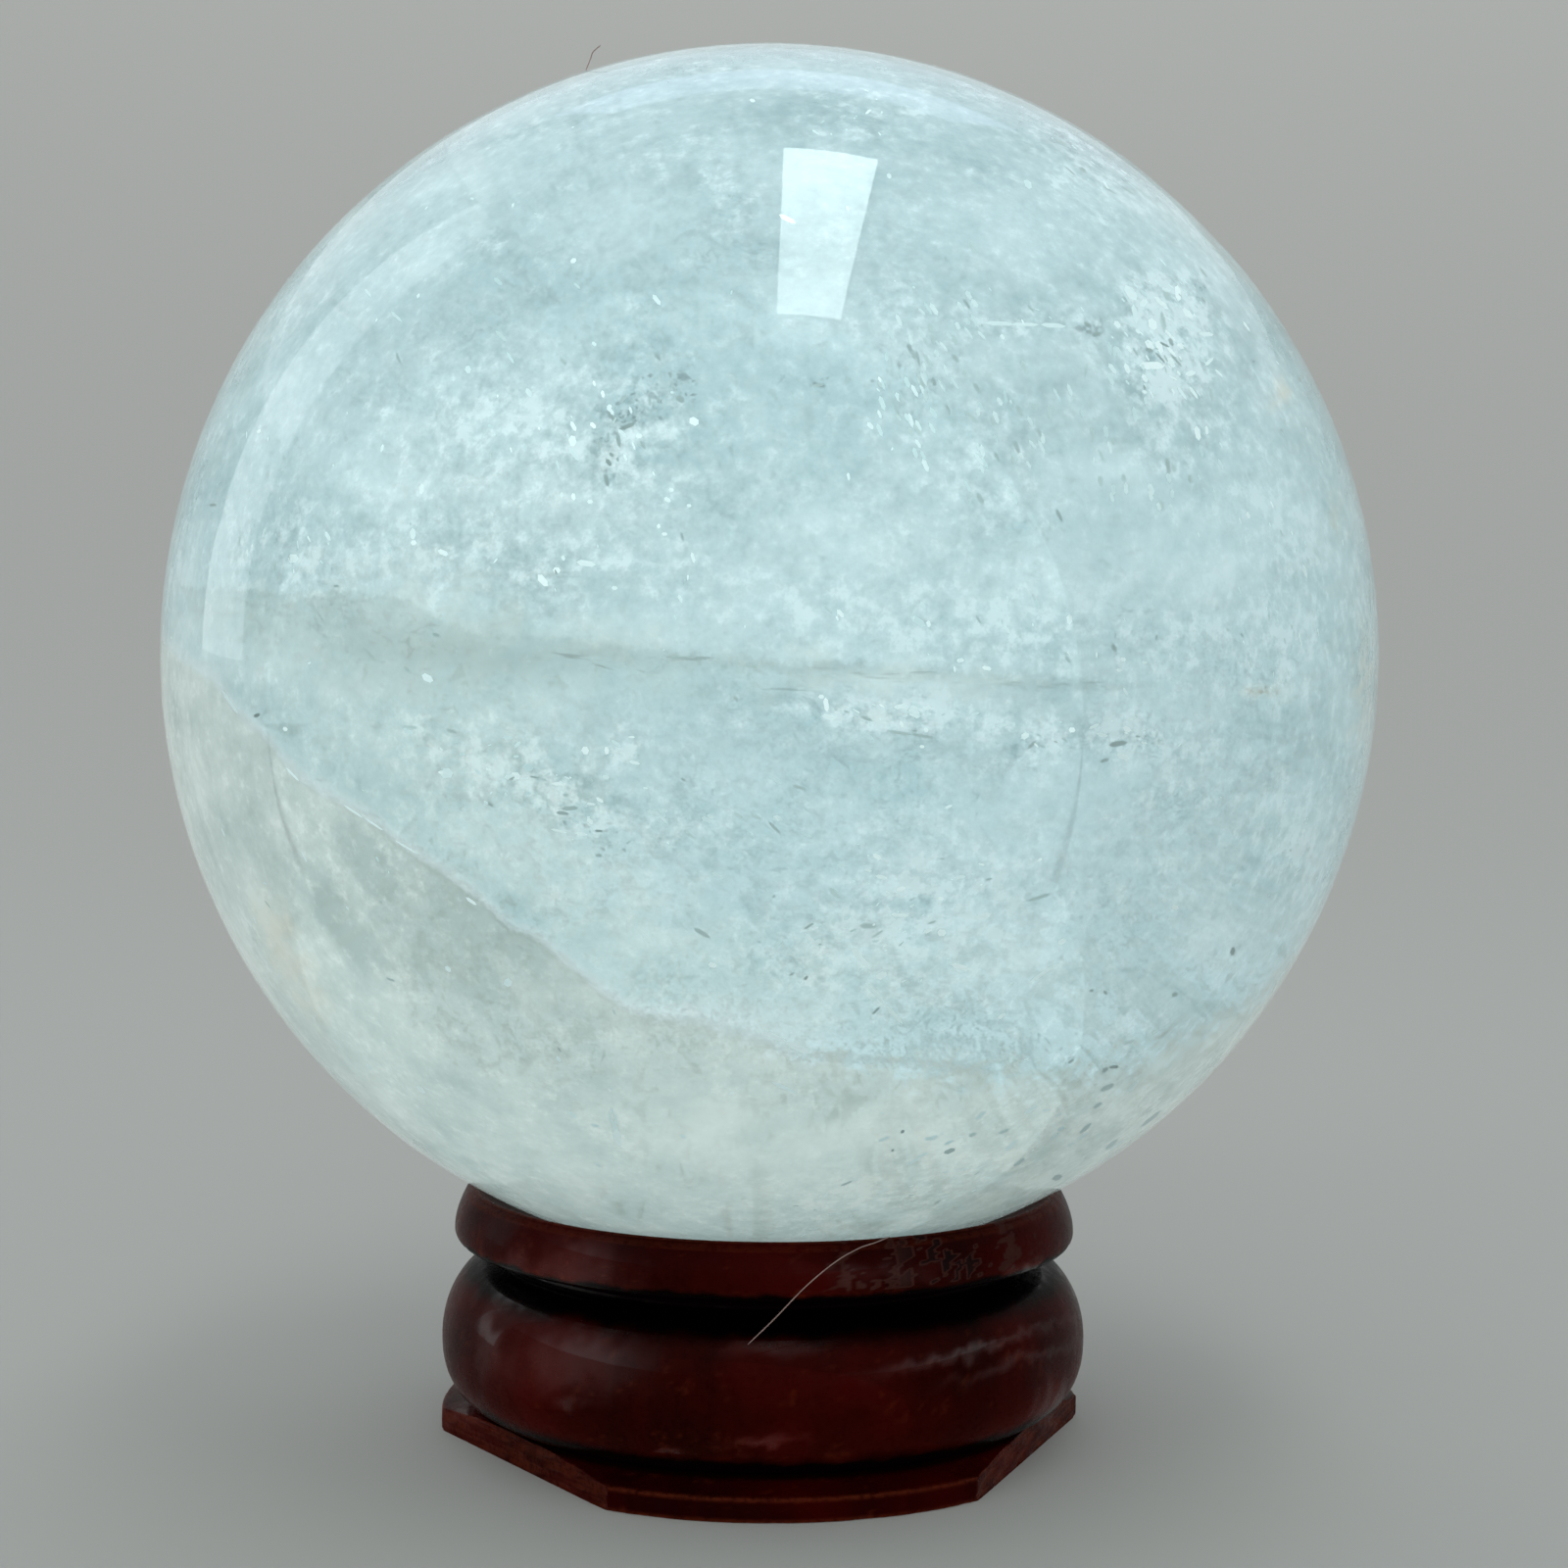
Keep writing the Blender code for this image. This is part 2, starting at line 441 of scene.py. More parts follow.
def bump(tree, height, strength, distance):
    """A Bump node, whose output goes to a shader's Normal."""
    node = tree.nodes.new("ShaderNodeBump")
    set_inputs(node, {"Height": height, "Strength": strength, "Distance": distance})
    return node.outputs[0]


def read_attribute(tree, name):
    """A value that the mesh carries at its points."""
    node = tree.nodes.new("ShaderNodeAttribute")
    node.attribute_name = name
    return node.outputs["Fac"]


print("node helpers ready")

# %% [markdown]
# ## Random fields
#
# Clouds in quartz, chips in wood and the wander of a lathe tool all need something random that is
# still smooth. A sum of plane waves with random directions gives that at any point in space, and the
# same seed gives the same field each time.


# %% A smooth random field
WAVES = 16
OCTAVE_GAIN = 0.6


def wave_field(points, wavelength, seed, octaves=3, stretch=(1.0, 1.0, 1.0)):
    """A sum of cosines with a spread of about 1.

    Each octave adds waves cos(2 pi direction . point / wavelength + phase) with random unit
    directions and phases. The next octave has half the wavelength and OCTAVE_GAIN times the height.
    """
    rng = np.random.default_rng(seed)
    scaled = points / np.array(stretch)
    total = np.zeros(len(points))
    height, power = 1.0, 0.0
    for _ in range(octaves):
        directions = rng.normal(size=(3, WAVES))
        directions /= np.linalg.norm(directions, axis=0)
        phases = rng.uniform(0, 2 * math.pi, WAVES)
        turns = scaled @ directions * (2 * math.pi / wavelength) + phases
        total += height * np.cos(turns).sum(1) * math.sqrt(2 / WAVES)
        power += height**2
        height *= OCTAVE_GAIN
        wavelength /= 2
    return total / math.sqrt(power)


def smooth_step(value, low, high):
    """0 below low, 1 above high, and 3 s^2 - 2 s^3 of the share s between them."""
    share = np.clip((value - low) / (high - low), 0, 1)
    return share * share * (3 - 2 * share)


test_points = np.random.default_rng(1).normal(size=(4000, 3))
print("field spread:", round(float(wave_field(test_points, 0.7, 2).std()), 2))

# %% [markdown]
# ## The turned stand
#
# The stand was turned from one block: a dished seat, a slanted rim with a rounded lip, a deep groove,
# a full belly, a narrow groove and a thin foot. It could be spun with a Screw modifier, but then each
# point's angle and height would be lost, and the chips, the wear and the three sawn flats need both.
# So it is a grid of profile point times angle.

# %% Profile of the stand
SEAT_GAP = 0.3 * MM
RIM_EDGE = (14.88 * MM, 12.45 * MM)
RIM_WIDE = (15.65 * MM, 10.25 * MM)
EDGE_ROUND = 0.22 * MM
LIP_SIZE = (0.35 * MM, 0.45 * MM)
LIP_END = math.radians(-75)
NECK_CENTRE = (13.45 * MM, 9.06 * MM)
NECK_ROUND = 0.27 * MM
BELLY_CENTRE = (13.25 * MM, 4.90 * MM)
BELLY_DEPTH = 3.0 * MM
BELLY_RISE = 3.9 * MM
BELLY_DROP = 3.3 * MM
FOOT_GROOVE = (14.0 * MM, 1.62 * MM)
FOOT_SHELF = (14.45 * MM, 1.50 * MM)
FOOT_RADIUS = 16.25 * MM
FOOT_SIDE = 1.0 * MM
FOOT_EASING = 0.15 * MM


def oval(centre, across, up, start, end, count, power=2.0):
    """Points centre + (across cos^(2/power), up sin^(2/power)) from the start to the end angle."""
    angle = np.radians(np.linspace(start, end, count))
    c, s = np.cos(angle), np.sin(angle)
    return np.stack([centre[0] + across * np.sign(c) * abs(c) ** (2 / power),
                     centre[1] + up * np.sign(s) * abs(s) ** (2 / power)], -1)


def straight(start, end, count):
    """count points from start to end, both left out."""
    share = np.linspace(0, 1, count + 2)[1:-1, None]
    return np.array(start) * (1 - share) + np.array(end) * share


def stand_profile():
    """(radius, height) from the middle of the seat over the rim, neck, belly and foot to below."""
    seat_radius = BALL_RADIUS + SEAT_GAP
    edge_angle = math.asin((RIM_EDGE[0] - EDGE_ROUND) / seat_radius)
    angle = np.linspace(0, edge_angle, 26)[1:]
    seat = np.stack([seat_radius * np.sin(angle), BALL_CENTRE[2] - seat_radius * np.cos(angle)], -1)
    edge_middle = (RIM_EDGE[0] - EDGE_ROUND * 0.95, RIM_EDGE[1] - EDGE_ROUND * 1.25)
    edge = oval(edge_middle, EDGE_ROUND, EDGE_ROUND, 105, 15, 6)
    share = np.linspace(0.14, 1, 22)
    face = np.stack([RIM_EDGE[0] + (RIM_WIDE[0] - RIM_EDGE[0]) * np.sin(share * math.pi / 2),
                     RIM_EDGE[1] + (RIM_WIDE[1] - RIM_EDGE[1]) * share], -1)
    lip_middle = (RIM_WIDE[0] - LIP_SIZE[0], RIM_WIDE[1])
    lip = oval(lip_middle, *LIP_SIZE, -10, math.degrees(LIP_END), 8)
    neck_in = straight(lip[-1], (NECK_CENTRE[0], NECK_CENTRE[1] + NECK_ROUND), 5)
    neck = oval(NECK_CENTRE, NECK_ROUND, NECK_ROUND, 90, 270, 7)
    upper = oval(BELLY_CENTRE, BELLY_DEPTH, BELLY_RISE, 86, 0, 34, 2.0)
    lower = oval(BELLY_CENTRE, BELLY_DEPTH, BELLY_DROP, 0, -76, 26, 2.4)[1:]
    groove = np.array([FOOT_GROOVE])
    shelf = straight(FOOT_SHELF, (FOOT_RADIUS - FOOT_EASING, FOOT_SIDE + FOOT_EASING), 12)
    eased = oval((FOOT_RADIUS - FOOT_EASING, FOOT_SIDE), FOOT_EASING, FOOT_EASING, 90, 0, 4)
    side = straight((FOOT_RADIUS, FOOT_SIDE), (FOOT_RADIUS, FOOT_EASING), 12)
    under = oval((FOOT_RADIUS - FOOT_EASING, FOOT_EASING), FOOT_EASING, FOOT_EASING, 0, -90, 4)
    base = straight((FOOT_RADIUS - FOOT_EASING, 0), (0.5 * MM, 0), 16)
    parts = [seat, edge, face, lip, neck_in, neck, upper, lower, groove, np.array([FOOT_SHELF]),
             shelf, eased, side, under, base]
    return np.concatenate(parts)


profile = stand_profile()
print("profile points:", len(profile), "widest, mm:", round(float(profile[:, 0].max()) / MM, 2))

# %% [markdown]
# ### Flats, chips and wear
#
# The foot is sawn off along three flats. A point beyond a flat is drawn in to it along its radius.
# The saw left ridges, and the lacquer has flaked off edges, so a random field takes off a few
# hundredths of a millimetre there. Where wood is bare and where lacquer has peeled off is kept
# at the points as wear and peel. The painted shade of the neck, under the rim's overhang, and of
# the low groove is kept as groove_shade, for the finish.

# %% Points of the stand
FLAT_DISTANCE = 14.3 * MM
FLAT_ANGLES = np.radians([-23.5, 96.5, 216.5])
STAND_COLUMNS = 420
LEAST_LEAN = 0.3
CHIP_DEPTH = 0.05 * MM
LATHE_DEPTH = 0.006 * MM
LATHE_STEP = 0.11 * MM
PEEL_ANGLE = math.radians(-56)
PEEL_WIDTH = 0.32


def stand_angles():
    """Even angles round the axis, and the angles of the six corners that the flats leave."""
    half = math.acos(FLAT_DISTANCE / FOOT_RADIUS)
    corners = np.concatenate([FLAT_ANGLES - half, FLAT_ANGLES + half])
    even = np.linspace(0, 2 * math.pi, STAND_COLUMNS, endpoint=False)
    return np.unique(np.round(np.concatenate([even, corners]) % (2 * math.pi), 6))


def stand_surface(angles):
    """Points, wear, peel and painted groove shade of the stand.

    A point is (r cos a, r sin a, h). On the foot r is at most distance / cos(a - flat) for each flat.
    Chips, ridges and peeled lacquer are then taken off r.
    """
    radius = profile[:, :1] * np.ones(len(angles))
    height = profile[:, 1:] * np.ones(len(angles))
    foot = height < FOOT_GROOVE[1] - 0.01 * MM
    on_flat = np.zeros_like(radius, bool)
    for flat in FLAT_ANGLES:
        lean = np.cos(angles - flat)
        limit = np.where(lean > LEAST_LEAN, FLAT_DISTANCE / np.maximum(lean, LEAST_LEAN), np.inf)
        limit = limit * np.ones_like(radius)
        cut = foot & (radius > limit)
        radius = np.where(cut, limit, radius)
        on_flat |= cut & (height > 0.02 * MM)
    # random fields, and how sharply the profile bends
    around = ring_points(radius, height, angles)
    lumps = wave_field(around, 2.2 * MM, 11, 4).reshape(radius.shape)
    fine = wave_field(around, 0.7 * MM, 12, 3, stretch=(1, 1, 0.6)).reshape(radius.shape)
    saw = wave_field(around, 0.9 * MM, 13, 3, stretch=(3, 3, 0.5)).reshape(radius.shape)
    bend = np.abs(np.gradient(np.unwrap(np.arctan2(np.gradient(profile[:, 1]),
                                                   np.gradient(profile[:, 0])))))
    bend = np.clip(bend / 0.5, 0, 1)[:, None] * (profile[:, :1] > 10 * MM)
    # worn edges and sawn flats, and lacquer gone from the right of the rim
    wear = np.clip(0.75 * bend + 0.25 * smooth_step(fine + lumps, 1.9, 3.2), 0, 1)
    wear = np.where(on_flat, 0.22 + 0.16 * np.clip(saw, -1, 1), 0.7 * wear)
    rim_face = (height > RIM_WIDE[1]) & (height < RIM_EDGE[1]) & (radius > 14 * MM)
    from_peel = (angles + math.pi) % (2 * math.pi) - math.pi - PEEL_ANGLE
    front_right = np.exp(-((from_peel / PEEL_WIDTH) ** 2))
    peel = smooth_step(lumps + 0.6 * fine + 1.1 * front_right, 1.25, 1.45) * rim_face * front_right
    # what chips, saw and lathe take off
    loss = CHIP_DEPTH * peel + CHIP_DEPTH * np.clip(0.5 + 0.5 * saw, 0, 1) * on_flat
    loss += CHIP_DEPTH * bend * smooth_step(lumps, 0.4, 1.4)
    rings = LATHE_DEPTH * np.sin(height / LATHE_STEP) * (profile[:, :1] > 12 * MM) * foot
    radius = radius - np.clip(loss + rings, 0, None) * (profile[:, :1] > 14 * MM)
    # painted shade in the neck, under the rim's overhang, and in the low groove
    level = height + 0.06 * MM * lumps
    neck = smooth_step(level, 7.4 * MM, 8.3 * MM) * smooth_step(-level, -10.3 * MM, -10.05 * MM)
    low = smooth_step(height, 1.42 * MM, 1.52 * MM) * smooth_step(-level, -3.1 * MM, -2.4 * MM)
    groove_shade = np.clip(neck + low, 0, 1) * (radius > 12.5 * MM)
    wear = wear * (1 - groove_shade)
    return ring_points(radius, height, angles), wear.ravel(), peel.ravel(), groove_shade.ravel()


angles = stand_angles()
stand_points, *stand_values = stand_surface(angles)
print("rows and columns of the stand:", len(profile), len(angles))

# %% [markdown]
# ### Spots of the picture
#
# Gloss on the lacquer, and later the clouds and smudges on the stone, lie at places that can be read
# off the picture. Painting them as an image would tie them to one view. So each kind is a short list
# of soft oval spots, worked out at the mesh's points, and random fields pull their edges out of
# shape. Points on the side that the picture doesn't show fade over to a random field.

# %% Soft spots and the gloss of the lacquer
NEAR_FADE = 4 * MM


def near_side(points):
    """1 on the side of the picture and 0 behind, with a smooth step between them."""
    return smooth_step(-points[:, 1], 0, NEAR_FADE)


def cos_sin(degrees):
    """Cosine and sine of an angle in degrees."""
    return math.cos(math.radians(degrees)), math.sin(math.radians(degrees))


def picture_spots(points, middle, spots, sway, lumps, seed, octaves):
    """The sum of strength * exp(-(u / width)^2 - (v / height)^2) over spots of the picture.

    A spot is (x, y, width, height, slant, strength), in picture elements and degrees. u and v are
    measured along and across its slant. Before that, two random fields with lumps of the given sizes
    move each place across and down by up to about sway picture elements. The points count from
    middle.
    """
    across, down = picture_place(middle + points)
    across = across + sway[0] * wave_field(points, lumps[0], seed, octaves)
    down = down + sway[1] * wave_field(points, lumps[1], seed + 1, octaves)
    total = np.zeros(len(points))
    for x, y, width, height, slant, strength in spots:
        c, s = cos_sin(slant)
        u = c * (across - x) + s * (down - y)
        v = -s * (across - x) + c * (down - y)
        total += strength * np.exp(-((u / width) ** 2) - (v / height) ** 2)
    return total


GLOSS = [  # places of the picture where the lacquer is thick and shines
    (590, 1390, 52, 26, 0, 0.9), (592, 1296, 38, 24, 0, 0.8), (522, 1300, 14, 22, 0, 0.5),
    (1010, 1372, 60, 5, -18, 0.7), (1030, 1392, 50, 4, -18, 0.5), (950, 1390, 60, 5, -12, 0.4),
    (665, 1487, 66, 3, 3, 0.9), (780, 1471, 30, 3, -2, 0.8), (546, 1322, 30, 8, 0, 0.9),
    (1052, 1300, 16, 8, -20, 1.0), (578, 1434, 14, 4, 0, 0.8), (500, 1370, 10, 34, 0, 0.4),
    (790, 1374, 46, 9, 0, 0.4), (656, 1338, 60, 4, 2, 0.7), (480, 1440, 12, 10, 0, 0.4),
    (1070, 1430, 12, 30, 0, 0.4), (1060, 1500, 14, 14, 0, 0.5), (900, 1300, 60, 8, 0, 0.3),
]


def gloss_at(points):
    """How thick the shiny lacquer is: the spots of GLOSS in front and a random field behind."""
    total = picture_spots(points, 0, GLOSS, (5, 3), (2.0 * MM, 1.4 * MM), 15, 2)
    own = 0.5 * smooth_step(wave_field(points, 5 * MM, 17, 3, stretch=(1, 1, 0.5)), 0.9, 2.2)
    near = near_side(points)
    return np.clip(total * near + own * (1 - near), 0, 1)


print("spots of gloss:", len(GLOSS))

# %% [markdown]
# ### The stand as one mesh
#
# The grid of points becomes a band of quads that is closed by a fan in the middle of the seat and
# another under the foot. Faces that meet at a clear angle keep a sharp edge, so the sawn foot and the
# rim stay crisp while the belly is smooth.

# %% Build the stand
SHARP_ANGLE = math.radians(38)


def add_values(item, name, values):
    """Keeps one number at each point of a mesh."""
    layer = item.data.attributes.new(name, "FLOAT", "POINT")
    layer.data.foreach_set("value", np.asarray(values, np.float32))


def make_stand():
    """The grid of profile times angle, with its two poles closed by fans."""
    seat_middle = [0, 0, BALL_CENTRE[2] - BALL_RADIUS - SEAT_GAP]
    points = np.concatenate([stand_points, [seat_middle, [0, 0, 0]]])
    faces = closed_faces(len(profile), len(angles), rising=False)
    item = make_mesh("turned_ring_stand", points, faces)
    for name, values in zip(("wear", "peel", "groove_shade"), stand_values):
        add_values(item, name, np.concatenate([values, [0, 0]]))
    add_values(item, "gloss", gloss_at(points))
    item.data.set_sharp_from_angle(angle=SHARP_ANGLE)
    return item


stand = make_stand()
print("stand faces:", len(stand.data.polygons))

# %% [markdown]
# ### Lacquered wood
#
# The wood was stained and lacquered nearly black-red. Where light reaches it, it is red-brown, and
# worn edges and sawn faces show orange-brown wood. The lacquer is a clear coat over a duller base,
# and it is thick only where the spots of gloss are.

# %% Lacquer finish
def make_lacquer():
    """Streaky dark red under a coat. Wear mixes in bare wood, peel dull brown, painted shade black."""
    material, tree, shader = new_finish("dark_red_lacquer")
    where = object_place(tree)
    grain = noise(tree, object_place(tree, stretch=(1, 1, 5)), 2.2 * MM, 6, 0.6, 0.4)
    patches = noise(tree, where, 7 * MM, 3, 0.5)
    specks = noise(tree, where, 0.35 * MM, 4, 0.65)
    dark = blend(tree, step_between(tree, grain, 0.35, 0.7), (0.006, 0.0002, 0.0002),
                 (0.0125, 0.0003, 0.0002))
    dark = blend(tree, step_between(tree, patches, 0.4, 0.7), dark, (0.026, 0.0006, 0.0004))
    groove_shade = read_attribute(tree, "groove_shade")
    # painted shade: the neck and the low groove are coloured near black
    dark = blend(tree, groove_shade, dark, (0.0004, 0.0001, 0.0001))
    rubbed = maths(tree, "MULTIPLY", read_attribute(tree, "wear"),
                   step_between(tree, specks, 0.25, 0.6))
    colour = blend(tree, rubbed, dark, (0.10, 0.017, 0.006))
    peel = read_attribute(tree, "peel")
    colour = blend(tree, maths(tree, "MULTIPLY", peel, 0.9), colour, (0.006, 0.003, 0.003))
    fringe = maths(tree, "MULTIPLY", step_between(tree, peel, 0.05, 0.35),
                   step_between(tree, peel, 0.95, 0.55))
    colour = blend(tree, maths(tree, "MULTIPLY", fringe, 0.6), colour, (0.045, 0.015, 0.012))
    rough = maths(tree, "MULTIPLY_ADD", specks, 0.30, 0.14)
    # the coat thins where the groove shade is painted, so the grooves reflect almost nothing
    shine = maths(tree, "MULTIPLY_ADD", groove_shade, -0.01, 0.012)
    brush = noise(tree, object_place(tree, stretch=(1, 1, 0.16)), 1.2 * MM, 4, 0.6)
    ripple = noise(tree, where, 3 * MM, 2, 0.5)
    height = maths(tree, "ADD", maths(tree, "MULTIPLY", brush, 0.4), ripple)
    set_inputs(shader, {
        "Base Color": colour,
        "Roughness": rough,
        "IOR": 1.5,
        "Specular IOR Level": 0.02,
        "Specular Tint": (1.0, 0.5, 0.45, 1.0),
        "Coat Weight": maths(tree, "MULTIPLY_ADD", read_attribute(tree, "gloss"), 1.0, shine),
        "Coat Roughness": 0.05,
        "Normal": bump(tree, height, 0.35, 0.12 * MM),
    })
    return material


stand.data.materials.append(make_lacquer())
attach(stand, "root")
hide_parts("wood_stand")
print("stand dressed")

# %% [markdown]
# ## The polished skin of the ball
#
# The ball is round to a few hundredths of a millimetre, but it has a few shallow chips, most of them
# on its upper right. The skin is a function of two angles, and each chip takes a shallow bowl out of
# the radius. It never stands proud of the model's sphere.

# %% Build the skin
SKIN_ROWS = 246
SKIN_COLUMNS = 396
CHIPS = [  # place in the picture, width and depth in mm
    (1250, 255, 1.6, 0.16),
    (1232, 232, 1.1, 0.10),
    (1346, 934, 0.9, 0.12),
    (1196, 196, 1.3, 0.08),
    (215, 515, 0.8, 0.06),
]
POLISH = 0.004 * MM
SKIN_DEPTH = 0.006 * MM


def skin_loss(normal):
    """How deep the skin lies under the model's sphere, for unit directions from the centre.

    It is a small constant, a slow random field and depth * exp(-(d / width)^2) for each chip.
    """
    loss = SKIN_DEPTH + POLISH * (1 + wave_field(normal, 0.5, 21, 2)).clip(0)
    for across, down, width, depth in CHIPS:
        middle = (skin_point(across, down)[0] - BALL_CENTRE) / BALL_RADIUS
        away = np.linalg.norm(normal - middle, axis=1) * BALL_RADIUS
        loss = loss + depth * MM * np.exp(-((away / (width * MM)) ** 2))
    return loss


def make_skin():
    """(R - loss) (sin t cos a, sin t sin a, cos t) round the centre, with two closed poles."""
    polar = np.linspace(0, math.pi, SKIN_ROWS + 2)[1:-1][::-1]
    angle = np.linspace(0, 2 * math.pi, SKIN_COLUMNS, endpoint=False)
    t, a = np.meshgrid(polar, angle, indexing="ij")
    normal = np.stack([np.sin(t) * np.cos(a), np.sin(t) * np.sin(a), np.cos(t)], -1).reshape(-1, 3)
    normal = np.concatenate([normal, [[0, 0, -1], [0, 0, 1]]])
    loss = skin_loss(normal)
    points = BALL_CENTRE + normal * (BALL_RADIUS - loss)[:, None]
    return make_mesh("polished_sphere", points, closed_faces(SKIN_ROWS, SKIN_COLUMNS)), points


skin, skin_points = make_skin()
print("skin faces:", len(skin.data.polygons))

# %% [markdown]
# ### Growth lines
#
# Two lines cross the ball from side to side, and both are traced in the picture. One is the slanting
# growth boundary, an old crystal face that later growth covered. The other is the upper edge of a
# dull layer. A height above a line tells the finish, and later the grains, on which side a point is.

# %% Growth lines traced in the picture
BOUNDARY = [  # the growth boundary in the picture
    (150, 640), (222, 699), (240, 728), (267, 751), (307, 798), (347, 820), (383, 842), (428, 876),
    (490, 918), (524, 951), (545, 956), (579, 985), (621, 1019), (655, 1038), (718, 1044),
    (756, 1055), (810, 1074), (1000, 1092), (1150, 1085), (1290, 1010), (1400, 900),
]
LAYER_LINE = [  # upper edge of a dull growth layer in the picture, thick at the left
    (150, 590), (200, 598), (270, 606), (400, 612), (446, 628), (470, 642), (560, 652), (640, 660),
    (700, 668), (780, 674), (857, 677), (933, 686), (1010, 690), (1060, 692), (1150, 697),
    (1250, 700), (1420, 698),
]


def above_line(points, line):
    """Height z - line(x) above a line of the picture, for points from the ball's centre.

    The line is traced on the near side of the skin and goes straight through to the far side.
    """
    traced = skin_point(*np.array(line, float).T)[0] - BALL_CENTRE
    return points[:, 2] - np.interp(points[:, 0], traced[:, 0], traced[:, 2])


around = skin_points - BALL_CENTRE
above = above_line(around, BOUNDARY) / MM
print("share of the skin above the boundary:", round(float((above > 0).mean()), 2))

# %% [markdown]
# ### Clouds under the skin
#
# The broad clouds are worked out once at the mesh's points and kept there as a value, milk, so the
# finish only has to add the small ones. All round the ball it is a random field that lies in flattish
# layers with feathery wisps, a little milkier at the back. On the side of the picture a few soft
# spots are added where the picture has a pale cloud or a dull gap. Two of them, just under the
# growth boundary, are painted shade: the dark band that lies there.

# %% Broad clouds
CLOUDS_AND_SHADE = [  # place and half size in the picture, slant in degrees, paler (+) or duller (-)
    (545, 445, 110, 60, 10, 0.40),
    (400, 560, 130, 50, 5, 0.30),
    (690, 420, 60, 80, 0, -0.25),
    (830, 440, 110, 70, 0, -0.15),
    (1190, 345, 45, 80, -8, 0.45),
    (1050, 240, 90, 90, 0, -0.25),
    (1080, 430, 90, 90, 20, -0.20),
    (1000, 590, 220, 45, 3, 0.25),
    (390, 665, 150, 45, 8, -0.22),
    (620, 655, 110, 16, 6, -0.25),
    (200, 620, 40, 110, 0, 0.35),
    (930, 725, 130, 22, 5, 0.55),
    (1150, 760, 110, 35, 3, 0.35),
    (560, 815, 110, 35, 20, 0.35),
    (830, 790, 120, 45, 0, -0.20),
    (930, 940, 90, 55, 10, 0.55),
    (650, 930, 120, 60, 30, 0.10),
    (310, 880, 50, 60, 30, 0.10),
    # painted shade: these two spots darken the band just under the growth boundary
    (430, 925, 80, 36, 38, -0.75),
    (530, 965, 60, 30, 38, -0.80),
    (590, 1060, 70, 50, 30, -0.55),
    (340, 895, 45, 50, 20, -0.45),
    (470, 1045, 40, 40, 0, -0.45),
    (760, 1110, 150, 22, 6, -0.35),
    (330, 980, 50, 60, 40, 0.30),
    (420, 1040, 70, 60, 40, 0.30),
    (800, 1105, 50, 25, 10, 0.30),
    (760, 1200, 260, 40, 0, 0.20),
    (1290, 880, 50, 60, 20, 0.25),
    (1310, 620, 45, 90, 0, 0.30),
    (850, 560, 300, 40, 2, 0.15),
    (620, 200, 200, 60, -10, 0.15),
    (1240, 560, 120, 110, 0, 0.44),
    (760, 620, 420, 130, 0, 0.15),
    (215, 800, 45, 160, -15, 0.40),
    (830, 758, 90, 12, 3, -0.40),
    (420, 1000, 220, 130, 35, -0.30),
    (700, 250, 420, 190, 0, -0.33),
    (1330, 500, 40, 160, 0, 0.25),
    (1190, 340, 50, 72, 10, 0.45),
    (1090, 1010, 150, 80, 0, 0.22),
]
MILK_LEVEL = 0.485
MILK_BEHIND = 0.14
FEATHER_MILK = 0.14
LEAF_MILK = 0.12
CLOUD_MILK = 0.45


def slanted(points, degrees):
    """Points turned round the y axis, so that a pattern can lie along a slant."""
    c, s = cos_sin(degrees)
    return np.stack([c * points[:, 0] + s * points[:, 2], points[:, 1],
                     c * points[:, 2] - s * points[:, 0]], -1)


def wisps(points, wavelength, seed, stretch, slant):
    """Thin bright lines where a random field passes through 0: step(1 - |field|, 0.6, 1)."""
    turned = slanted(points, slant)
    field = wave_field(turned, wavelength, seed, 2, stretch=stretch)
    where = smooth_step(wave_field(turned, 7 * MM, seed + 1, 2, stretch=stretch), -0.4, 1.2)
    return smooth_step(1 - abs(field), 0.6, 1.0) * where


def milk_at(points):
    """How milky the stone is at points from the ball's centre, from 0 to 1.

    Feathery wisps lie any way in the upper part, level in the middle, and slanted in the lower. Under
    the growth boundary, steep leaves take their place, and just under it two spots paint shade.
    """
    fog = wave_field(points, 34 * MM, 53, 2)
    bands = wave_field(points, 13 * MM, 54, 3, stretch=(2.2, 2.2, 0.6))
    lumps = wave_field(points, 6 * MM, 55, 3, stretch=(1.3, 1.3, 0.8))
    own = 0.05 * fog + 0.07 * bands + 0.08 * lumps
    high = smooth_step(points[:, 2], 3 * MM, 8 * MM)
    low = smooth_step(-points[:, 2], 7 * MM, 13 * MM)
    feathers = high * wisps(points, 3.2 * MM, 56, (1.0, 1.0, 1.0), 0)
    feathers += (1 - high - low) * wisps(points, 2.6 * MM, 58, (3.0, 2.0, 0.8), 3)
    feathers += low * wisps(points, 2.8 * MM, 60, (2.6, 2.0, 0.8), 28)
    leaves = wave_field(slanted(points, -60), 3.2 * MM, 57, 2, stretch=(2.0, 1.2, 0.8))
    own += LEAF_MILK * leaves * smooth_step(-above_line(points, BOUNDARY), 0, 1.5 * MM)
    own += MILK_BEHIND * smooth_step(points[:, 1], -6 * MM, 10 * MM)
    clouds = near_side(points) * picture_spots(points, BALL_CENTRE, CLOUDS_AND_SHADE, (22, 14),
                                               (5 * MM, 5 * MM), 51, 3)
    return np.clip(MILK_LEVEL + own + FEATHER_MILK * feathers + CLOUD_MILK * clouds, 0, 1)


milk = milk_at(around)
print("milk, mean and spread:", round(float(milk.mean()), 2), round(float(milk.std()), 2))
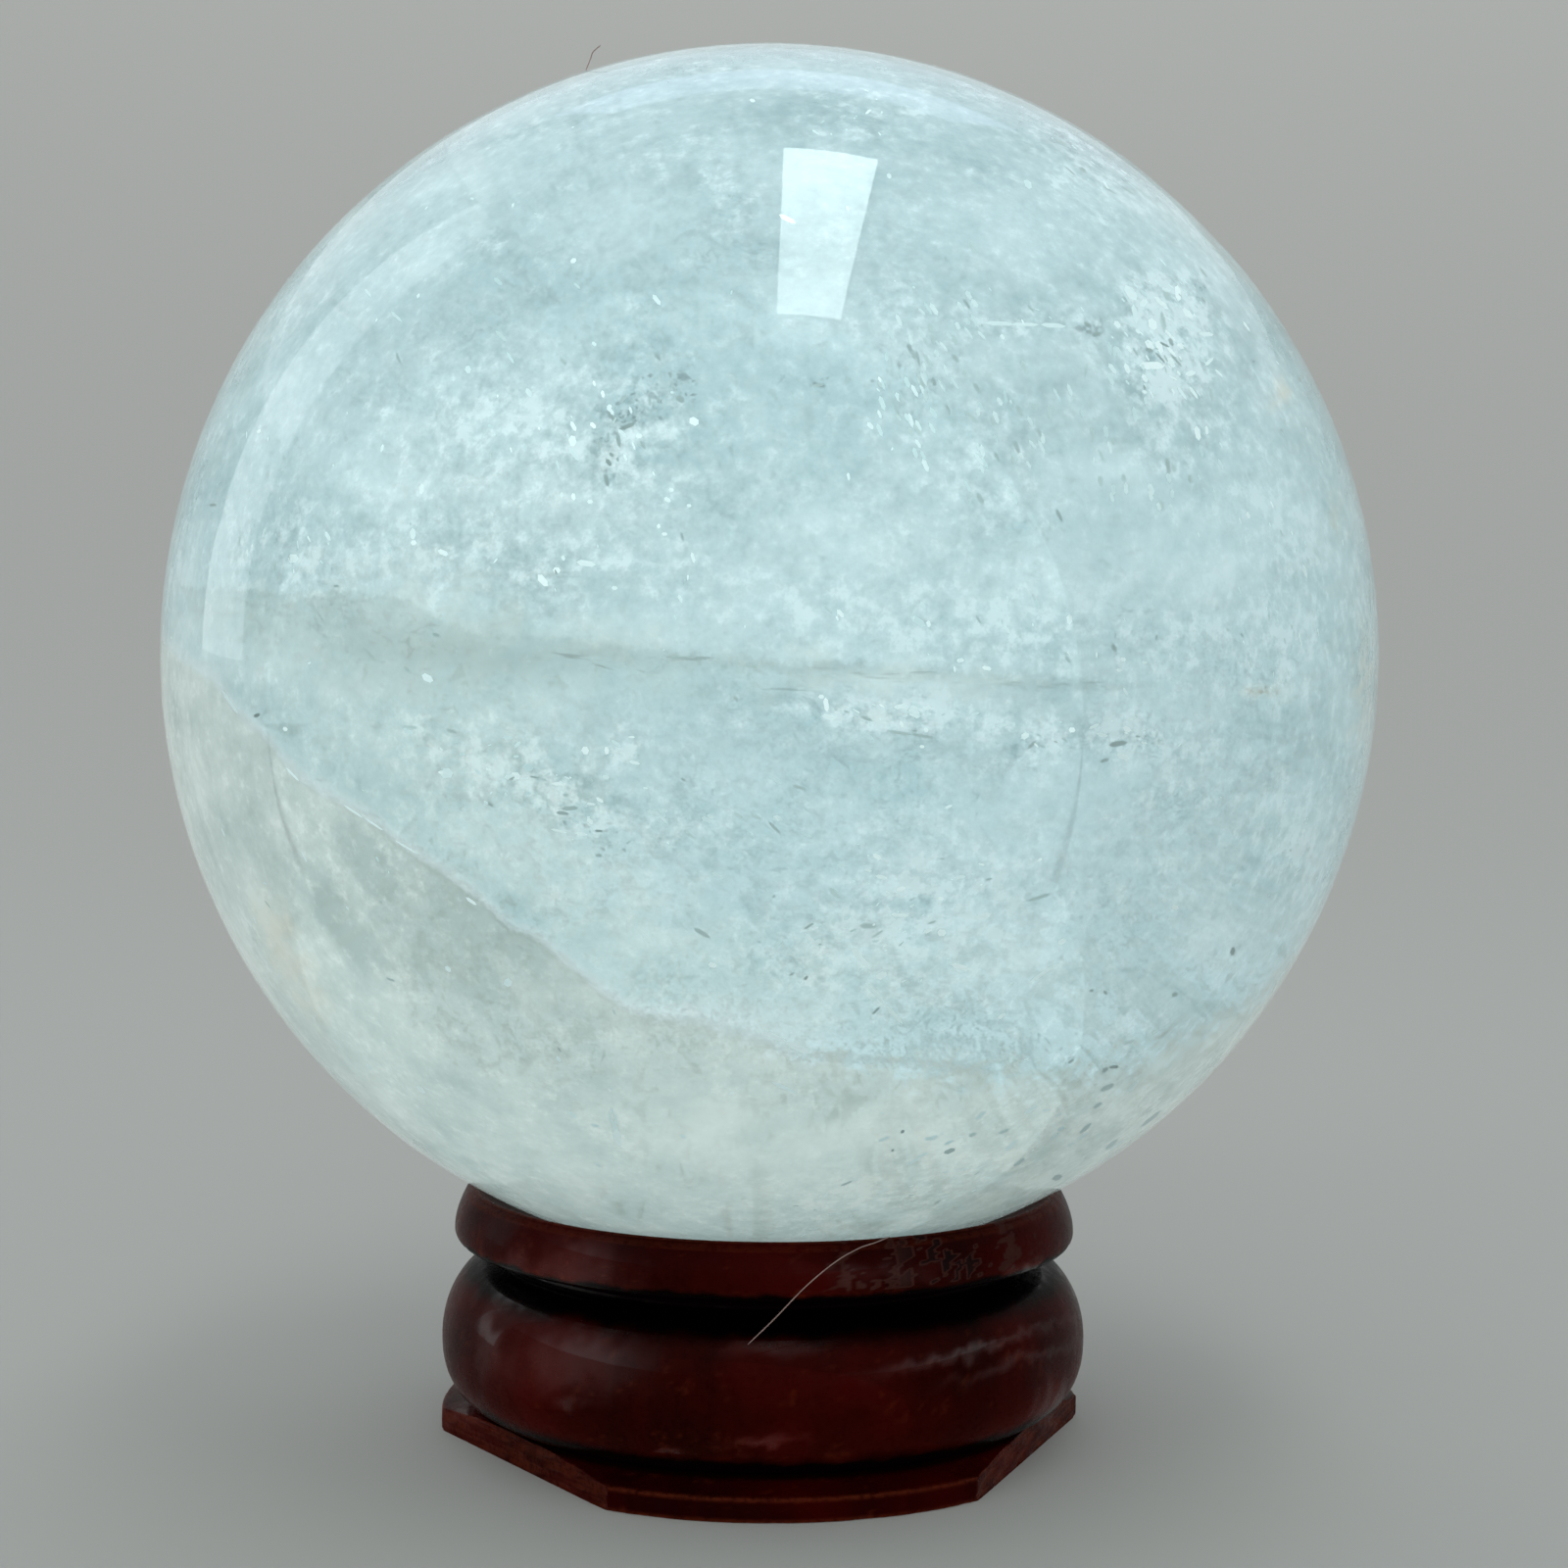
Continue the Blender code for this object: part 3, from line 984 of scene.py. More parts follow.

# %% [markdown]
# ### Smudges and clusters
#
# Dark smudges and cream patches tint single places, and one cream patch is a painted glint. Small
# flakes gather in clusters, and clusters is high there. Some places above the boundary are grey where
# the rest is blue-green.

# %% Smudges
SMUDGES_AND_GLINT = [  # dark (+) and cream (-) patches: place, half size, slant, strength
    (620, 455, 12, 30, 5, 0.65), (641, 432, 15, 8, -15, 0.65), (668, 370, 20, 8, 35, 0.45),
    (692, 402, 9, 15, -30, 0.5), (835, 393, 12, 7, 0, 0.35), (1115, 336, 13, 8, -20, 0.55),
    (1083, 145, 9, 7, 30, 0.45), (1105, 173, 8, 7, 30, 0.45), (905, 410, 12, 9, 0, 0.3),
    (492, 623, 22, 7, 0, 0.3), (1268, 485, 16, 4, 0, 0.4), (472, 868, 16, 9, 20, 0.35),
    (508, 850, 22, 9, 20, 0.3), (348, 886, 20, 14, 0, 0.35), (331, 920, 11, 22, 0, 0.35),
    (440, 935, 26, 30, 30, 0.30), (515, 958, 36, 14, 30, 0.35), (470, 1050, 22, 20, 0, 0.3),
    (574, 830, 14, 6, 0, 0.4), (611, 850, 9, 6, 0, 0.4), (886, 945, 18, 8, 0, 0.35),
    (716, 952, 18, 8, 30, 0.35), (1093, 985, 22, 10, -10, 0.28), (1060, 917, 26, 6, -15, 0.4),
    (999, 919, 28, 8, 0, 0.3), (1130, 1095, 18, 10, 0, 0.32), (936, 750, 26, 5, 8, 0.5),
    (1140, 760, 16, 6, -10, 0.5), (1190, 300, 9, 12, 0, 0.3), (1188, 330, 7, 16, 10, 0.3),
    (560, 1095, 20, 18, 20, 0.2), (365, 730, 26, 6, 4, 0.25), (1150, 1085, 40, 16, -20, 0.18),
    (1290, 706, 24, 6, 0, -0.6), (283, 955, 15, 42, -20, -0.55), (318, 1015, 16, 30, -20, -0.35),
    # the cream patch at (1306, 400) is a painted glint: a yellowish sparkle off a chip
    (1394, 700, 8, 60, 0, -0.5), (1306, 400, 6, 14, 0, -0.7), (1363, 524, 6, 22, 0, -0.35),
    (480, 930, 60, 22, 38, 0.15), (360, 880, 50, 26, 20, 0.15),
]


def smudge_at(points):
    """Dark (+) and cream (-) patches: the spots of SMUDGES_AND_GLINT in front and a random field behind."""
    total = picture_spots(points, BALL_CENTRE, SMUDGES_AND_GLINT, (5, 4), (1.6 * MM, 1.6 * MM), 63, 2)
    ragged = smooth_step(wave_field(points, 1.3 * MM, 65, 2), -0.9, 0.6)
    ragged = np.where(total < 0, 1, ragged)
    far = 0.5 * smooth_step(wave_field(points, 4.5 * MM, 66, 3, stretch=(1.8, 1.8, 0.7)), 2.0, 2.8)
    near = near_side(points)
    return np.clip(total * ragged * near + far * (1 - near), -0.9, 0.9)


print("smudges:", len(SMUDGES_AND_GLINT))

# %% Clusters of flakes and grey places
CLUSTERS = [  # where fine flakes gather: place, half size, slant, strength
    (1190, 345, 44, 80, -8, 0.7), (1165, 430, 25, 40, 0, 0.5), (1240, 440, 40, 50, 60, 0.5),
    (930, 728, 150, 15, 4, 1.0), (1120, 757, 110, 20, 3, 1.0), (630, 768, 14, 14, 0, 1.0),
    (560, 570, 220, 34, 3, 0.55), (1000, 640, 250, 36, 3, 0.6), (545, 445, 100, 50, 10, 0.6),
    (640, 440, 50, 50, 0, 0.6), (1045, 330, 60, 10, 0, 0.9), (920, 320, 50, 40, 60, 0.5),
    (1020, 450, 60, 50, 60, 0.5), (590, 815, 110, 34, 20, 0.8), (470, 760, 120, 34, 20, 0.4),
    (930, 930, 90, 55, 15, 0.9), (870, 125, 60, 24, 0, 0.6), (740, 200, 30, 50, 0, 0.5),
    (300, 570, 60, 50, 0, 0.5), (760, 1110, 70, 16, 10, 0.5), (630, 1150, 20, 30, 0, 0.4),
    (1310, 620, 40, 110, 0, 0.5), (1310, 860, 36, 60, 0, 0.7), (1110, 180, 50, 30, 35, 0.6),
    (380, 665, 130, 50, 6, -0.6), (620, 670, 120, 34, 6, -0.6), (900, 690, 130, 12, 3, -0.7),
    (830, 770, 100, 16, 0, -0.6), (660, 240, 200, 90, 0, -0.3), (760, 1150, 200, 50, 0, -0.4),
    (1120, 560, 60, 80, 0, -0.2), (780, 560, 120, 40, 0, -0.2), (900, 1220, 150, 30, -10, 0.5),
    (850, 1000, 120, 40, 25, 0.4), (370, 900, 90, 60, 30, 0.3), (1100, 1130, 120, 50, -35, 0.3),
]
GREYER = [  # places above the boundary where the haze is grey instead of blue-green
    (430, 780, 240, 120, 20, 0.5), (470, 660, 230, 50, 5, 0.6), (600, 950, 200, 60, 25, 0.4),
    (880, 690, 220, 14, 3, 0.4), (860, 1000, 200, 60, 0, 0.3), (500, 520, 200, 80, 0, 0.2),
]


def ragged_spots(points, spots, sway):
    """Spots of the ball's near side whose edges are pulled out by up to about sway elements."""
    return near_side(points) * picture_spots(points, BALL_CENTRE, spots, (sway, 0.7 * sway),
                                             (2.2 * MM, 2.2 * MM), 63, 3)


def clusters_at(points):
    """How thickly flakes lie, about 0 in the calm parts and 1 in a cluster.

    To the spots it adds a random field, stronger behind, and one four-sided patch at the upper right.
    """
    own = smooth_step(wave_field(points, 6 * MM, 67, 3, stretch=(1.5, 1.5, 0.8)), 0.4, 2.4)
    own = own * (0.35 + 0.4 * smooth_step(points[:, 1], -4 * MM, 6 * MM))
    across, down = picture_place(BALL_CENTRE + points)
    across = across + 4 * wave_field(points, 2 * MM, 69, 2)
    patch = smooth_step(across, 1140, 1156) * smooth_step(-across, -1252, -1205)
    patch = patch * smooth_step(down, 268, 292) * smooth_step(-down, -420, -392)
    patch = patch * near_side(points)
    return np.clip(0.05 + own + ragged_spots(points, CLUSTERS, 9) + 0.8 * patch, -0.35, 1.4)


print("clusters:", len(CLUSTERS), "grey places:", len(GREYER))

# %% [markdown]
# ### Values for the finish
#
# The finish reads eight values from the skin's points. above is the height over the boundary in
# millimetres, and it is made small where the boundary blurs, at the right and behind. edge says where
# the boundary has a bright fringe. layer is the height over the dull layer's upper edge, and width
# is the layer's thickness, which shrinks to nothing at the right, at the left edge and behind.

# %% Keep the values at the points
layer = above_line(around, LAYER_LINE) / MM
layer += 0.10 * wave_field(around, 5 * MM, 68, 2, stretch=(2, 1, 1))
blur = 1 + 0.4 * smooth_step(around[:, 0], -16 * MM, -6 * MM)
blur = blur + (1 - blur) * smooth_step(abs(layer), 3, 6)
behind = smooth_step(around[:, 1], -4 * MM, 6 * MM)
softness = 1 + 9 * np.maximum(smooth_step(around[:, 0], -6 * MM, 10 * MM), behind)
width = 0.36 + 1.3 * smooth_step(-around[:, 0], 0, 20 * MM)
width = width * smooth_step(-around[:, 0], -17 * MM, -11 * MM)
width = width * smooth_step(around[:, 0], -27 * MM, -24.5 * MM)
skin_values = {
    "milk": milk,
    "clusters": clusters_at(around),
    "above": above / softness,
    "edge": 0.45 * smooth_step(-around[:, 0], -6 * MM, 4 * MM) * (1 - behind),
    "layer": layer / blur,
    "width": np.maximum(width * (1 - behind) / blur, 0.01),
    "greyer": ragged_spots(around, GREYER, 20),
    "smudge_and_glint": smudge_at(around),
}
for value_name, values in skin_values.items():
    add_values(skin, value_name, values)
    print(value_name, "mean:", round(float(np.mean(values)), 3))

# %% [markdown]
# ### Milky quartz
#
# Milky quartz is clear quartz full of bubbles too small to see. Part of the light goes through, and
# part comes back from the haze. So about half of the finish is plain transmission, which shows what
# lies inside, and the rest is a pale body colour. That is calm and even in most places, with white
# clumps with torn edges in the clusters. The growth boundary parts the blue-green haze above from a
# greyer zone at the lower left, and the dull layer crosses the middle.

# %% Quartz finish
def make_quartz():
    """A calm body colour with torn pale clumps in its clusters, a grey zone under the boundary and a
    dull layer. Less light goes through where the stone is milkier.
    """
    material, tree, shader = new_finish("milky_quartz")
    centre = tuple(BALL_CENTRE)
    where = object_place(tree, centre)
    clusters = read_attribute(tree, "clusters")
    layer = read_attribute(tree, "layer")
    smudge_and_glint = read_attribute(tree, "smudge_and_glint")
    # how pale it is: milk, torn clumps and a fine mottle
    cloudy = noise(tree, where, 0.8 * MM, 3, 0.68)
    mottle = maths(tree, "SUBTRACT", cloudy, 0.5)
    clump = step_between(tree, maths(tree, "MULTIPLY_ADD", clusters, 0.19, cloudy), 0.54, 0.92)
    fine = maths(tree, "MULTIPLY", mottle, maths(tree, "MULTIPLY_ADD", clusters, 1.6, 0.85))
    pale = maths(tree, "MULTIPLY_ADD", clump, 0.48, read_attribute(tree, "milk"))
    pale = maths(tree, "ADD", pale, fine)
    pale = maths(tree, "MULTIPLY_ADD", smudge_and_glint, -0.3, pale)
    # which side of the growth boundary, and its fringe
    above_here = maths(tree, "MULTIPLY_ADD", mottle, 0.8, read_attribute(tree, "above"))
    upper = step_between(tree, above_here, -0.15, 0.1)
    band = maths(tree, "MULTIPLY", upper, step_between(tree, above_here, 0.8, 0.1))
    band = maths(tree, "MULTIPLY", band, read_attribute(tree, "edge"))
    # the dull layer
    width = read_attribute(tree, "width")
    thin = maths(tree, "DIVIDE", layer, width)
    dull = step_between(tree, maths(tree, "MULTIPLY_ADD", mottle, 0.8, thin), -1.9, -0.6)
    dull = maths(tree, "MULTIPLY", dull, step_between(
        tree, maths(tree, "MULTIPLY_ADD", mottle, 0.7, layer), 0.20, -0.15))
    dull = maths(tree, "MULTIPLY", dull, step_between(tree, width, 0.012, 0.09))
    pale = maths(tree, "MULTIPLY_ADD", dull, -0.20, pale, clamp=True)
    # the colours, from blue-green and grey stone to smudges and the fringe
    milky = blend(tree, pale, (0.40, 0.57, 0.605), (0.785, 0.955, 0.99))
    milky = blend(tree, maths(tree, "MULTIPLY", dull, 0.35), milky, (0.50, 0.58, 0.57))
    grey = blend(tree, pale, (0.48, 0.57, 0.54), (0.88, 0.985, 0.945))
    milky = blend(tree, read_attribute(tree, "greyer"), milky, grey)
    colour = blend(tree, upper, grey, milky)
    soot = maths(tree, "MULTIPLY", smudge_and_glint, 0.45, clamp=True)
    colour = blend(tree, soot, colour, (0.24, 0.32, 0.31))
    # cream patches, one of them a painted glint
    cream = maths(tree, "MULTIPLY", smudge_and_glint, -1.0, clamp=True)
    colour = blend(tree, cream, colour, (0.86, 0.82, 0.68))
    colour = blend(tree, band, colour, (0.95, 1.0, 1.0))
    through = maths(tree, "MULTIPLY_ADD", upper, 0.22, 0.40)
    through = maths(tree, "MULTIPLY_ADD", pale, -0.25, through, clamp=True)
    set_inputs(shader, {
        "Base Color": colour,
        "Roughness": 0.02,
        "IOR": QUARTZ_IOR,
        "Transmission Weight": through,
    })
    return material


skin.data.materials.append(make_quartz())
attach(skin, "root")
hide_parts("quartz_sphere")
print("skin dressed")

# %% [markdown]
# ## What lies inside
#
# Under the skin lie healed cracks, bubbles and flat fractures. Each shows as a pale or a dull grain,
# and thousands of them together make a haze or a veil. They could be particles, but those are lost
# when the model is saved, so each grain is a small closed body in one joined mesh, made from arrays.
# Every grain gets its own tone and its own small cell in a map, so that its colour can be kept.

# %% Grains
SPLINTER = (np.array([[1, 0, 0], [-0.5, 0.87, 0], [-0.5, -0.87, 0], [0, 0, 0.5]]),
            np.array([[0, 2, 1], [0, 1, 3], [1, 2, 3], [2, 0, 3]]))
LOZENGE = (np.array([[1, 0, 0], [0, 1, 0], [-1, 0, 0], [0, -1, 0], [0, 0, 1], [0, 0, -1]]),
           np.array([[0, 1, 4], [1, 2, 4], [2, 3, 4], [3, 0, 4],
                     [1, 0, 5], [2, 1, 5], [3, 2, 5], [0, 3, 5]]))


def random_turns(count, rng):
    """count random rotations, each from a random unit quaternion."""
    parts = rng.normal(size=(4, count))
    w, x, y, z = parts / np.linalg.norm(parts, axis=0)
    rows = [1 - 2 * (y * y + z * z), 2 * (x * y - z * w), 2 * (x * z + y * w),
            2 * (x * y + z * w), 1 - 2 * (x * x + z * z), 2 * (y * z - x * w),
            2 * (x * z - y * w), 2 * (y * z + x * w), 1 - 2 * (x * x + y * y)]
    return np.stack(rows, -1).reshape(count, 3, 3)


def lying_turns(normals, rng, spin=None):
    """Rotations whose third axis is the given normal, with a random or given first axis."""
    normals = unit(normals)
    guide = rng.normal(size=normals.shape) if spin is None else spin
    second = unit(np.cross(normals, guide))
    return np.stack([np.cross(second, normals), second, normals], -1)


def join_copies(name, points, faces, tones):
    """One mesh of many copies from points (copies, corners, 3), with a tone and a map cell each."""
    count, corners = points.shape[:2]
    every = faces[None] + (np.arange(count) * corners)[:, None, None]
    item = make_mesh(name, points.reshape(-1, 3), [every.reshape(-1, 3)], smooth=False)
    add_values(item, "tone", np.repeat(tones, corners))
    side = math.ceil(math.sqrt(count))
    cell = np.stack([np.arange(count) % side, np.arange(count) // side], -1)[:, None, None, :]
    spot = np.array([[0.2, 0.2], [0.8, 0.2], [0.5, 0.8]])[None, None]
    places = np.broadcast_to((cell + spot) / side, (count, len(faces), 3, 2))
    item.data.uv_layers.new(name="OFBake").uv.foreach_set(
        "vector", np.ascontiguousarray(places, np.float32).ravel())
    print(name, "copies:", count, "triangles:", len(item.data.polygons))
    return item


def scatter(name, shape, centres, turns, sizes, tones):
    """One mesh of many copies: centre + turn (size * corner) for each copy and corner."""
    corners, faces = shape
    grown = sizes[:, None, :] * corners[None, :, :]
    points = centres[:, None, :] + np.einsum("nij,nkj->nki", turns, grown)
    return join_copies(name, points, faces, tones)


def grain_sizes(count, rng, size, spread, most, long, wide, thick):
    """Half sizes of grains: size * a lognormal number, times a long, a wide and a thick share."""
    base = size * rng.lognormal(0, spread, count).clip(0.4, most)
    shares = [rng.uniform(*long, count), rng.uniform(*wide, count), np.full(count, thick)]
    return base[:, None] * np.stack(shares, -1)


print("corners of a splinter and of a lozenge:", len(SPLINTER[0]), len(LOZENGE[0]))

# %% [markdown]
# ### Finishes for grains
#
# A bubble or a crack shows by the light that it turns back, so a grain is a dull pale body that
# needs no glass of its own. Specks, streaks and stains have the same finish in other colours. Each
# grain's tone picks its place between two colours, so that no two neighbours are quite alike.

# %% Finishes for grains
DULL = {"Roughness": 0.5, "Specular IOR Level": 0.3}


def make_toned_finish(name, low, high, settings, lump=0.6 * MM, detail=1, swing=0.4):
    """A finish whose colour goes from low to high by each body's own tone and a fine noise.

    The noise has lumps of the given size and moves the tone up or down by half its swing.
    """
    material, tree, shader = new_finish(name)
    speckle = noise(tree, object_place(tree, tuple(BALL_CENTRE)), lump, detail)
    tone = maths(tree, "MULTIPLY_ADD", speckle, swing, -swing / 2)
    tone = maths(tree, "ADD", tone, read_attribute(tree, "tone"), clamp=True)
    set_inputs(shader, {"Base Color": blend(tree, tone, low, high), **settings})
    return material


PALE_GRAIN = make_toned_finish("pale_grain", (0.66, 0.80, 0.79), (0.97, 1.0, 1.0), DULL)
DARK_GRAIN = make_toned_finish("dark_grain", (0.05, 0.075, 0.075), (0.20, 0.26, 0.25), DULL)
STREAK_GRAIN = make_toned_finish("streak_grain", (0.25, 0.33, 0.32), (0.42, 0.52, 0.50), DULL)
BEIGE_GRAIN = make_toned_finish("beige_grain", (0.36, 0.31, 0.20), (0.74, 0.70, 0.52),
                                {**DULL, "Roughness": 0.4})


def add_stone_piece(item, material):
    """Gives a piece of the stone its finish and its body."""
    item.data.materials.append(material)
    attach(item, "root")


def keep_inside(centres, margin=0.45 * MM):
    """True for each point that lies at least the margin under the skin."""
    return np.linalg.norm(centres - BALL_CENTRE, axis=1) < BALL_RADIUS - margin


print("grain finishes:", [kind.name for kind in (PALE_GRAIN, DARK_GRAIN, STREAK_GRAIN, BEIGE_GRAIN)])

# %% [markdown]
# ### Haze
#
# The haze lies in flattish layers, thin below the growth boundary and gone near the ball's foot.
# Points are drawn evenly in the ball, and each is kept with a chance that follows the layers there.

# %% Milky haze
HAZE_DRAWN = 300_000
HAZE_GRAINS = 30_000
HAZE_SIZE = 0.13 * MM
HAZE_MARGIN = 0.5 * MM


def inside_ball(count, rng):
    """count points spread evenly in the ball: a random direction times R times a cube root."""
    way = unit(rng.normal(size=(count, 3)))
    return way * (BALL_RADIUS - HAZE_MARGIN) * np.cbrt(rng.random(count))[:, None]


def haze_density(points):
    """Flattish clouds and strands, in full above the growth boundary and a seventh below it."""
    clouds = wave_field(points, 11 * MM, 31, 3, stretch=(1.5, 1.5, 0.7))
    strands = 1 - abs(wave_field(points, 6 * MM, 32, 3, stretch=(1.3, 1.3, 0.8)))
    zone = 0.15 + 0.85 * smooth_step(above_line(points, BOUNDARY), -0.4 * MM, 0.4 * MM)
    zone = zone * smooth_step(points[:, 2], -19 * MM, -13 * MM)
    return zone * smooth_step(clouds + 0.8 * strands, 0.4, 2.4)


rng = np.random.default_rng(40)
spots = inside_ball(HAZE_DRAWN, rng)
spots = spots[rng.random(HAZE_DRAWN) < haze_density(spots)][:HAZE_GRAINS]
count = len(spots)
sizes = grain_sizes(count, rng, HAZE_SIZE, 0.5, 3.0, (0.8, 1.6), (0.5, 1.0), 0.35)
haze = scatter("milky_haze_1", SPLINTER, BALL_CENTRE + spots, random_turns(count, rng), sizes,
               rng.random(count))
add_stone_piece(haze, PALE_GRAIN)

# %% [markdown]
# ### Healed cracks
#
# A crack that grew shut leaves a thin, slightly wavy sheet of tiny flat bubbles. Each veil is a disc
# with a random wave across it, strewn with grains that lie in it, more where a branching field is
# high. Most stand where the picture shows a sparkling patch, and the rest fill the far side.

# %% Veils
VEIL_GRAIN = 0.11 * MM
VEIL_WAVE = 0.5 * MM
VEILS = [  # place in the picture, depth, the veil's normal, radius in mm, grains
    ((545, 440), 0.16, (0.35, -0.80, 0.50), 7.5, 4200),
    ((1180, 360), 0.12, (-0.45, -0.80, 0.40), 5.5, 3600),
    ((930, 930), 0.16, (0.15, -0.62, 0.75), 7.0, 4200),
    ((960, 735), 0.20, (0.04, -0.20, 0.98), 11.0, 5200),
    ((430, 575), 0.16, (0.05, -0.22, 0.97), 8.0, 3000),
    ((590, 815), 0.16, (0.30, -0.62, 0.72), 7.0, 3400),
    ((1010, 420), 0.25, (-0.70, -0.60, 0.35), 8.0, 3600),
    ((1250, 800), 0.20, (-0.30, -0.60, 0.74), 6.0, 2400),
    ((470, 1010), 0.20, (0.60, -0.70, 0.30), 6.0, 1200),
    ((760, 230), 0.20, (0.10, -0.45, 0.89), 9.0, 2600),
    ((520, 330), 0.80, (0.55, 0.70, 0.45), 9.0, 3800),
    ((1000, 900), 0.85, (-0.20, 0.80, 0.55), 9.0, 3800),
    ((850, 600), 0.90, (0.10, 0.45, 0.88), 11.0, 4200),
]


def veil_grains(place, depth, normal, radius, count, rng):
    """Points middle + u side + v across + height(u, v) normal for random u, v in a disc.

    Five times the grains are drawn, and those where the branching field is low are dropped.
    """
    normal = np.array(normal) / np.linalg.norm(normal)
    side = np.cross(normal, [0.1, 0.2, 1.0])
    side /= np.linalg.norm(side)
    across = np.cross(normal, side)
    turn = rng.uniform(0, 2 * math.pi, count * 5)
    reach = radius * MM * np.sqrt(rng.random(count * 5))
    flat = np.outer(reach * np.cos(turn), side) + np.outer(reach * np.sin(turn), across)
    seed = int(rng.integers(1000))
    branches = 1 - abs(wave_field(flat, 3.2 * MM, seed, 3))
    fade = 1 - (reach / (radius * MM)) ** 2
    kept = flat[rng.random(len(flat)) < smooth_step(branches, 0.1, 1.0) * fade][:count]
    lift = VEIL_WAVE * wave_field(kept, 7 * MM, seed + 1, 2) + rng.normal(0, 0.05 * MM, len(kept))
    centres = stone_point(*place, depth) + kept + np.outer(lift, normal)
    leaning = normal + rng.normal(0, 0.35, (len(kept), 3))
    return centres, leaning


rng = np.random.default_rng(60)
found = [veil_grains(*veil, rng) for veil in VEILS]
centres, leaning = (np.concatenate(part) for part in zip(*found))
kept = keep_inside(centres)
centres, leaning = centres[kept], leaning[kept]
count = len(centres)
sizes = grain_sizes(count, rng, VEIL_GRAIN, 0.55, 3.5, (0.9, 1.9), (0.6, 1.0), 0.2)
veils = scatter("healed_veils", SPLINTER, centres, lying_turns(leaning, rng), sizes,
                rng.random(count) ** 0.6)
add_stone_piece(veils, PALE_GRAIN)

# %% [markdown]
# ### The growth boundary
#
# The finish already gives the boundary its edge and its fringe on the skin. Grains are strewn behind
# the same line, most of them close under the skin, so that the edge has some depth. They go as far
# right as the picture shows the boundary.

# %% Boundary sheet
BOUNDARY_GRAINS = 9_000
BOUNDARY_GRAIN = 0.08 * MM
BOUNDARY_END = 1010

rng = np.random.default_rng(70)
traced = np.array(BOUNDARY, float)
share = rng.random(BOUNDARY_GRAINS)
across = traced[1, 0] + (BOUNDARY_END - traced[1, 0]) * share
down = np.interp(across, traced[:, 0], traced[:, 1]) + rng.normal(0, 3.0, BOUNDARY_GRAINS)
face = stone_point(across, down, 0.01 + 0.35 * rng.random(BOUNDARY_GRAINS) ** 1.5)
patchy = wave_field(face - BALL_CENTRE, 4 * MM, 72, 3) > -0.2
face = face[patchy & keep_inside(face)]
normals = np.broadcast_to([0.6, -0.35, 0.72], face.shape)
count = len(face)
size = BOUNDARY_GRAIN * rng.lognormal(0, 0.5, count).clip(0.4, 3.0)
sizes = size[:, None] * np.array([1.5, 1.0, 0.2])
turns = lying_turns(normals + rng.normal(0, 0.4, (count, 3)), rng)
boundary = scatter("growth_boundary", SPLINTER, face, turns, sizes, rng.random(count))
add_stone_piece(boundary, PALE_GRAIN)

# %% [markdown]
# ### Specks, streaks and sparks
#
# The last grains inside are few and large enough to be seen one by one, so they are placed in small
# groups at their own places of the picture: dark specks, long dull streaks along the layers, flat
# bright flakes and a few beige stains near the skin, one of which is a painted glint. A second set of
# the flakes and the stains, turned round the ball's axis, lies on the far side.

# %% Groups of single grains
FAR_TURN = 205


def far_side(points):
    """The same points turned round the ball's upright axis, to the side that isn't seen."""
    c, s = cos_sin(FAR_TURN)
    turn = np.array([[c, -s, 0], [s, c, 0], [0, 0, 1]])
    return (points - BALL_CENTRE) @ turn.T + BALL_CENTRE


def group_places(groups, rng):
    """Centres of grains scattered round places of the picture, and each one's slant.

    A group is (x, y, half width, half height, slant, grains, least depth, most depth), in picture
    elements, degrees and shares of the way through.
    """
    groups = np.array(groups, float)
    each = np.repeat(groups, groups[:, 5].astype(int), axis=0)
    u, v = rng.normal(0, 0.6, (2, len(each))) * each[:, 2:4].T
    slant = np.radians(each[:, 4])
    across = each[:, 0] + np.cos(slant) * u - np.sin(slant) * v
    down = each[:, 1] + np.sin(slant) * u + np.cos(slant) * v
    return stone_point(across, down, rng.uniform(each[:, 6], each[:, 7])), slant


def add_group(name, groups, seed, half_size, spread, material, jitter, tones=(0, 1), behind=True):
    """One piece of grains with their long side along the slant, and a second set behind if asked."""
    rng = np.random.default_rng(seed)
    centres, slant = group_places(groups, rng)
    way = np.stack([np.cos(slant), np.zeros_like(slant), -np.sin(slant)], -1)
    way = way + rng.normal(0, jitter, way.shape)
    facing = np.array([0, -1.0, 0.3]) + rng.normal(0, jitter, way.shape)
    if behind:
        turned = [far_side(part + BALL_CENTRE) - BALL_CENTRE for part in (way, facing)]
        centres = np.concatenate([centres, far_side(centres)])
        way, facing = np.concatenate([way, turned[0]]), np.concatenate([facing, turned[1]])
    size = rng.lognormal(0, spread, (len(centres), 1)).clip(0.35, 3.0)
    kept = keep_inside(centres, 0.2 * MM)
    turns = lying_turns(facing, rng, way)[kept]
    sizes = (size * np.array(half_size) * MM)[kept]
    tone = rng.uniform(*tones, len(centres))[kept]
    add_stone_piece(scatter(name, LOZENGE, centres[kept], turns, sizes, tone), material)


# each group: place, half size, slant, number of grains, least and most depth
DARK_SPECKS = [
    (622, 455, 14, 28, 10, 26, 0.01, 0.05), (640, 430, 14, 10, 0, 18, 0.01, 0.05),
    (668, 405, 26, 16, 0, 18, 0.02, 0.08), (690, 385, 20, 26, 20, 12, 0.02, 0.08),
    (1115, 335, 16, 10, -20, 22, 0.02, 0.06), (1083, 145, 14, 10, 30, 16, 0.02, 0.06),
    (1105, 172, 12, 8, 30, 12, 0.02, 0.06), (835, 393, 12, 8, 0, 8, 0.02, 0.06),
    (905, 415, 40, 60, 20, 12, 0.02, 0.1), (1305, 445, 20, 20, 0, 8, 0.02, 0.06),
    (570, 835, 60, 22, 20, 14, 0.02, 0.08), (1170, 755, 50, 6, 0, 12, 0.02, 0.06),
    (1130, 1090, 26, 12, -10, 12, 0.01, 0.05),
]
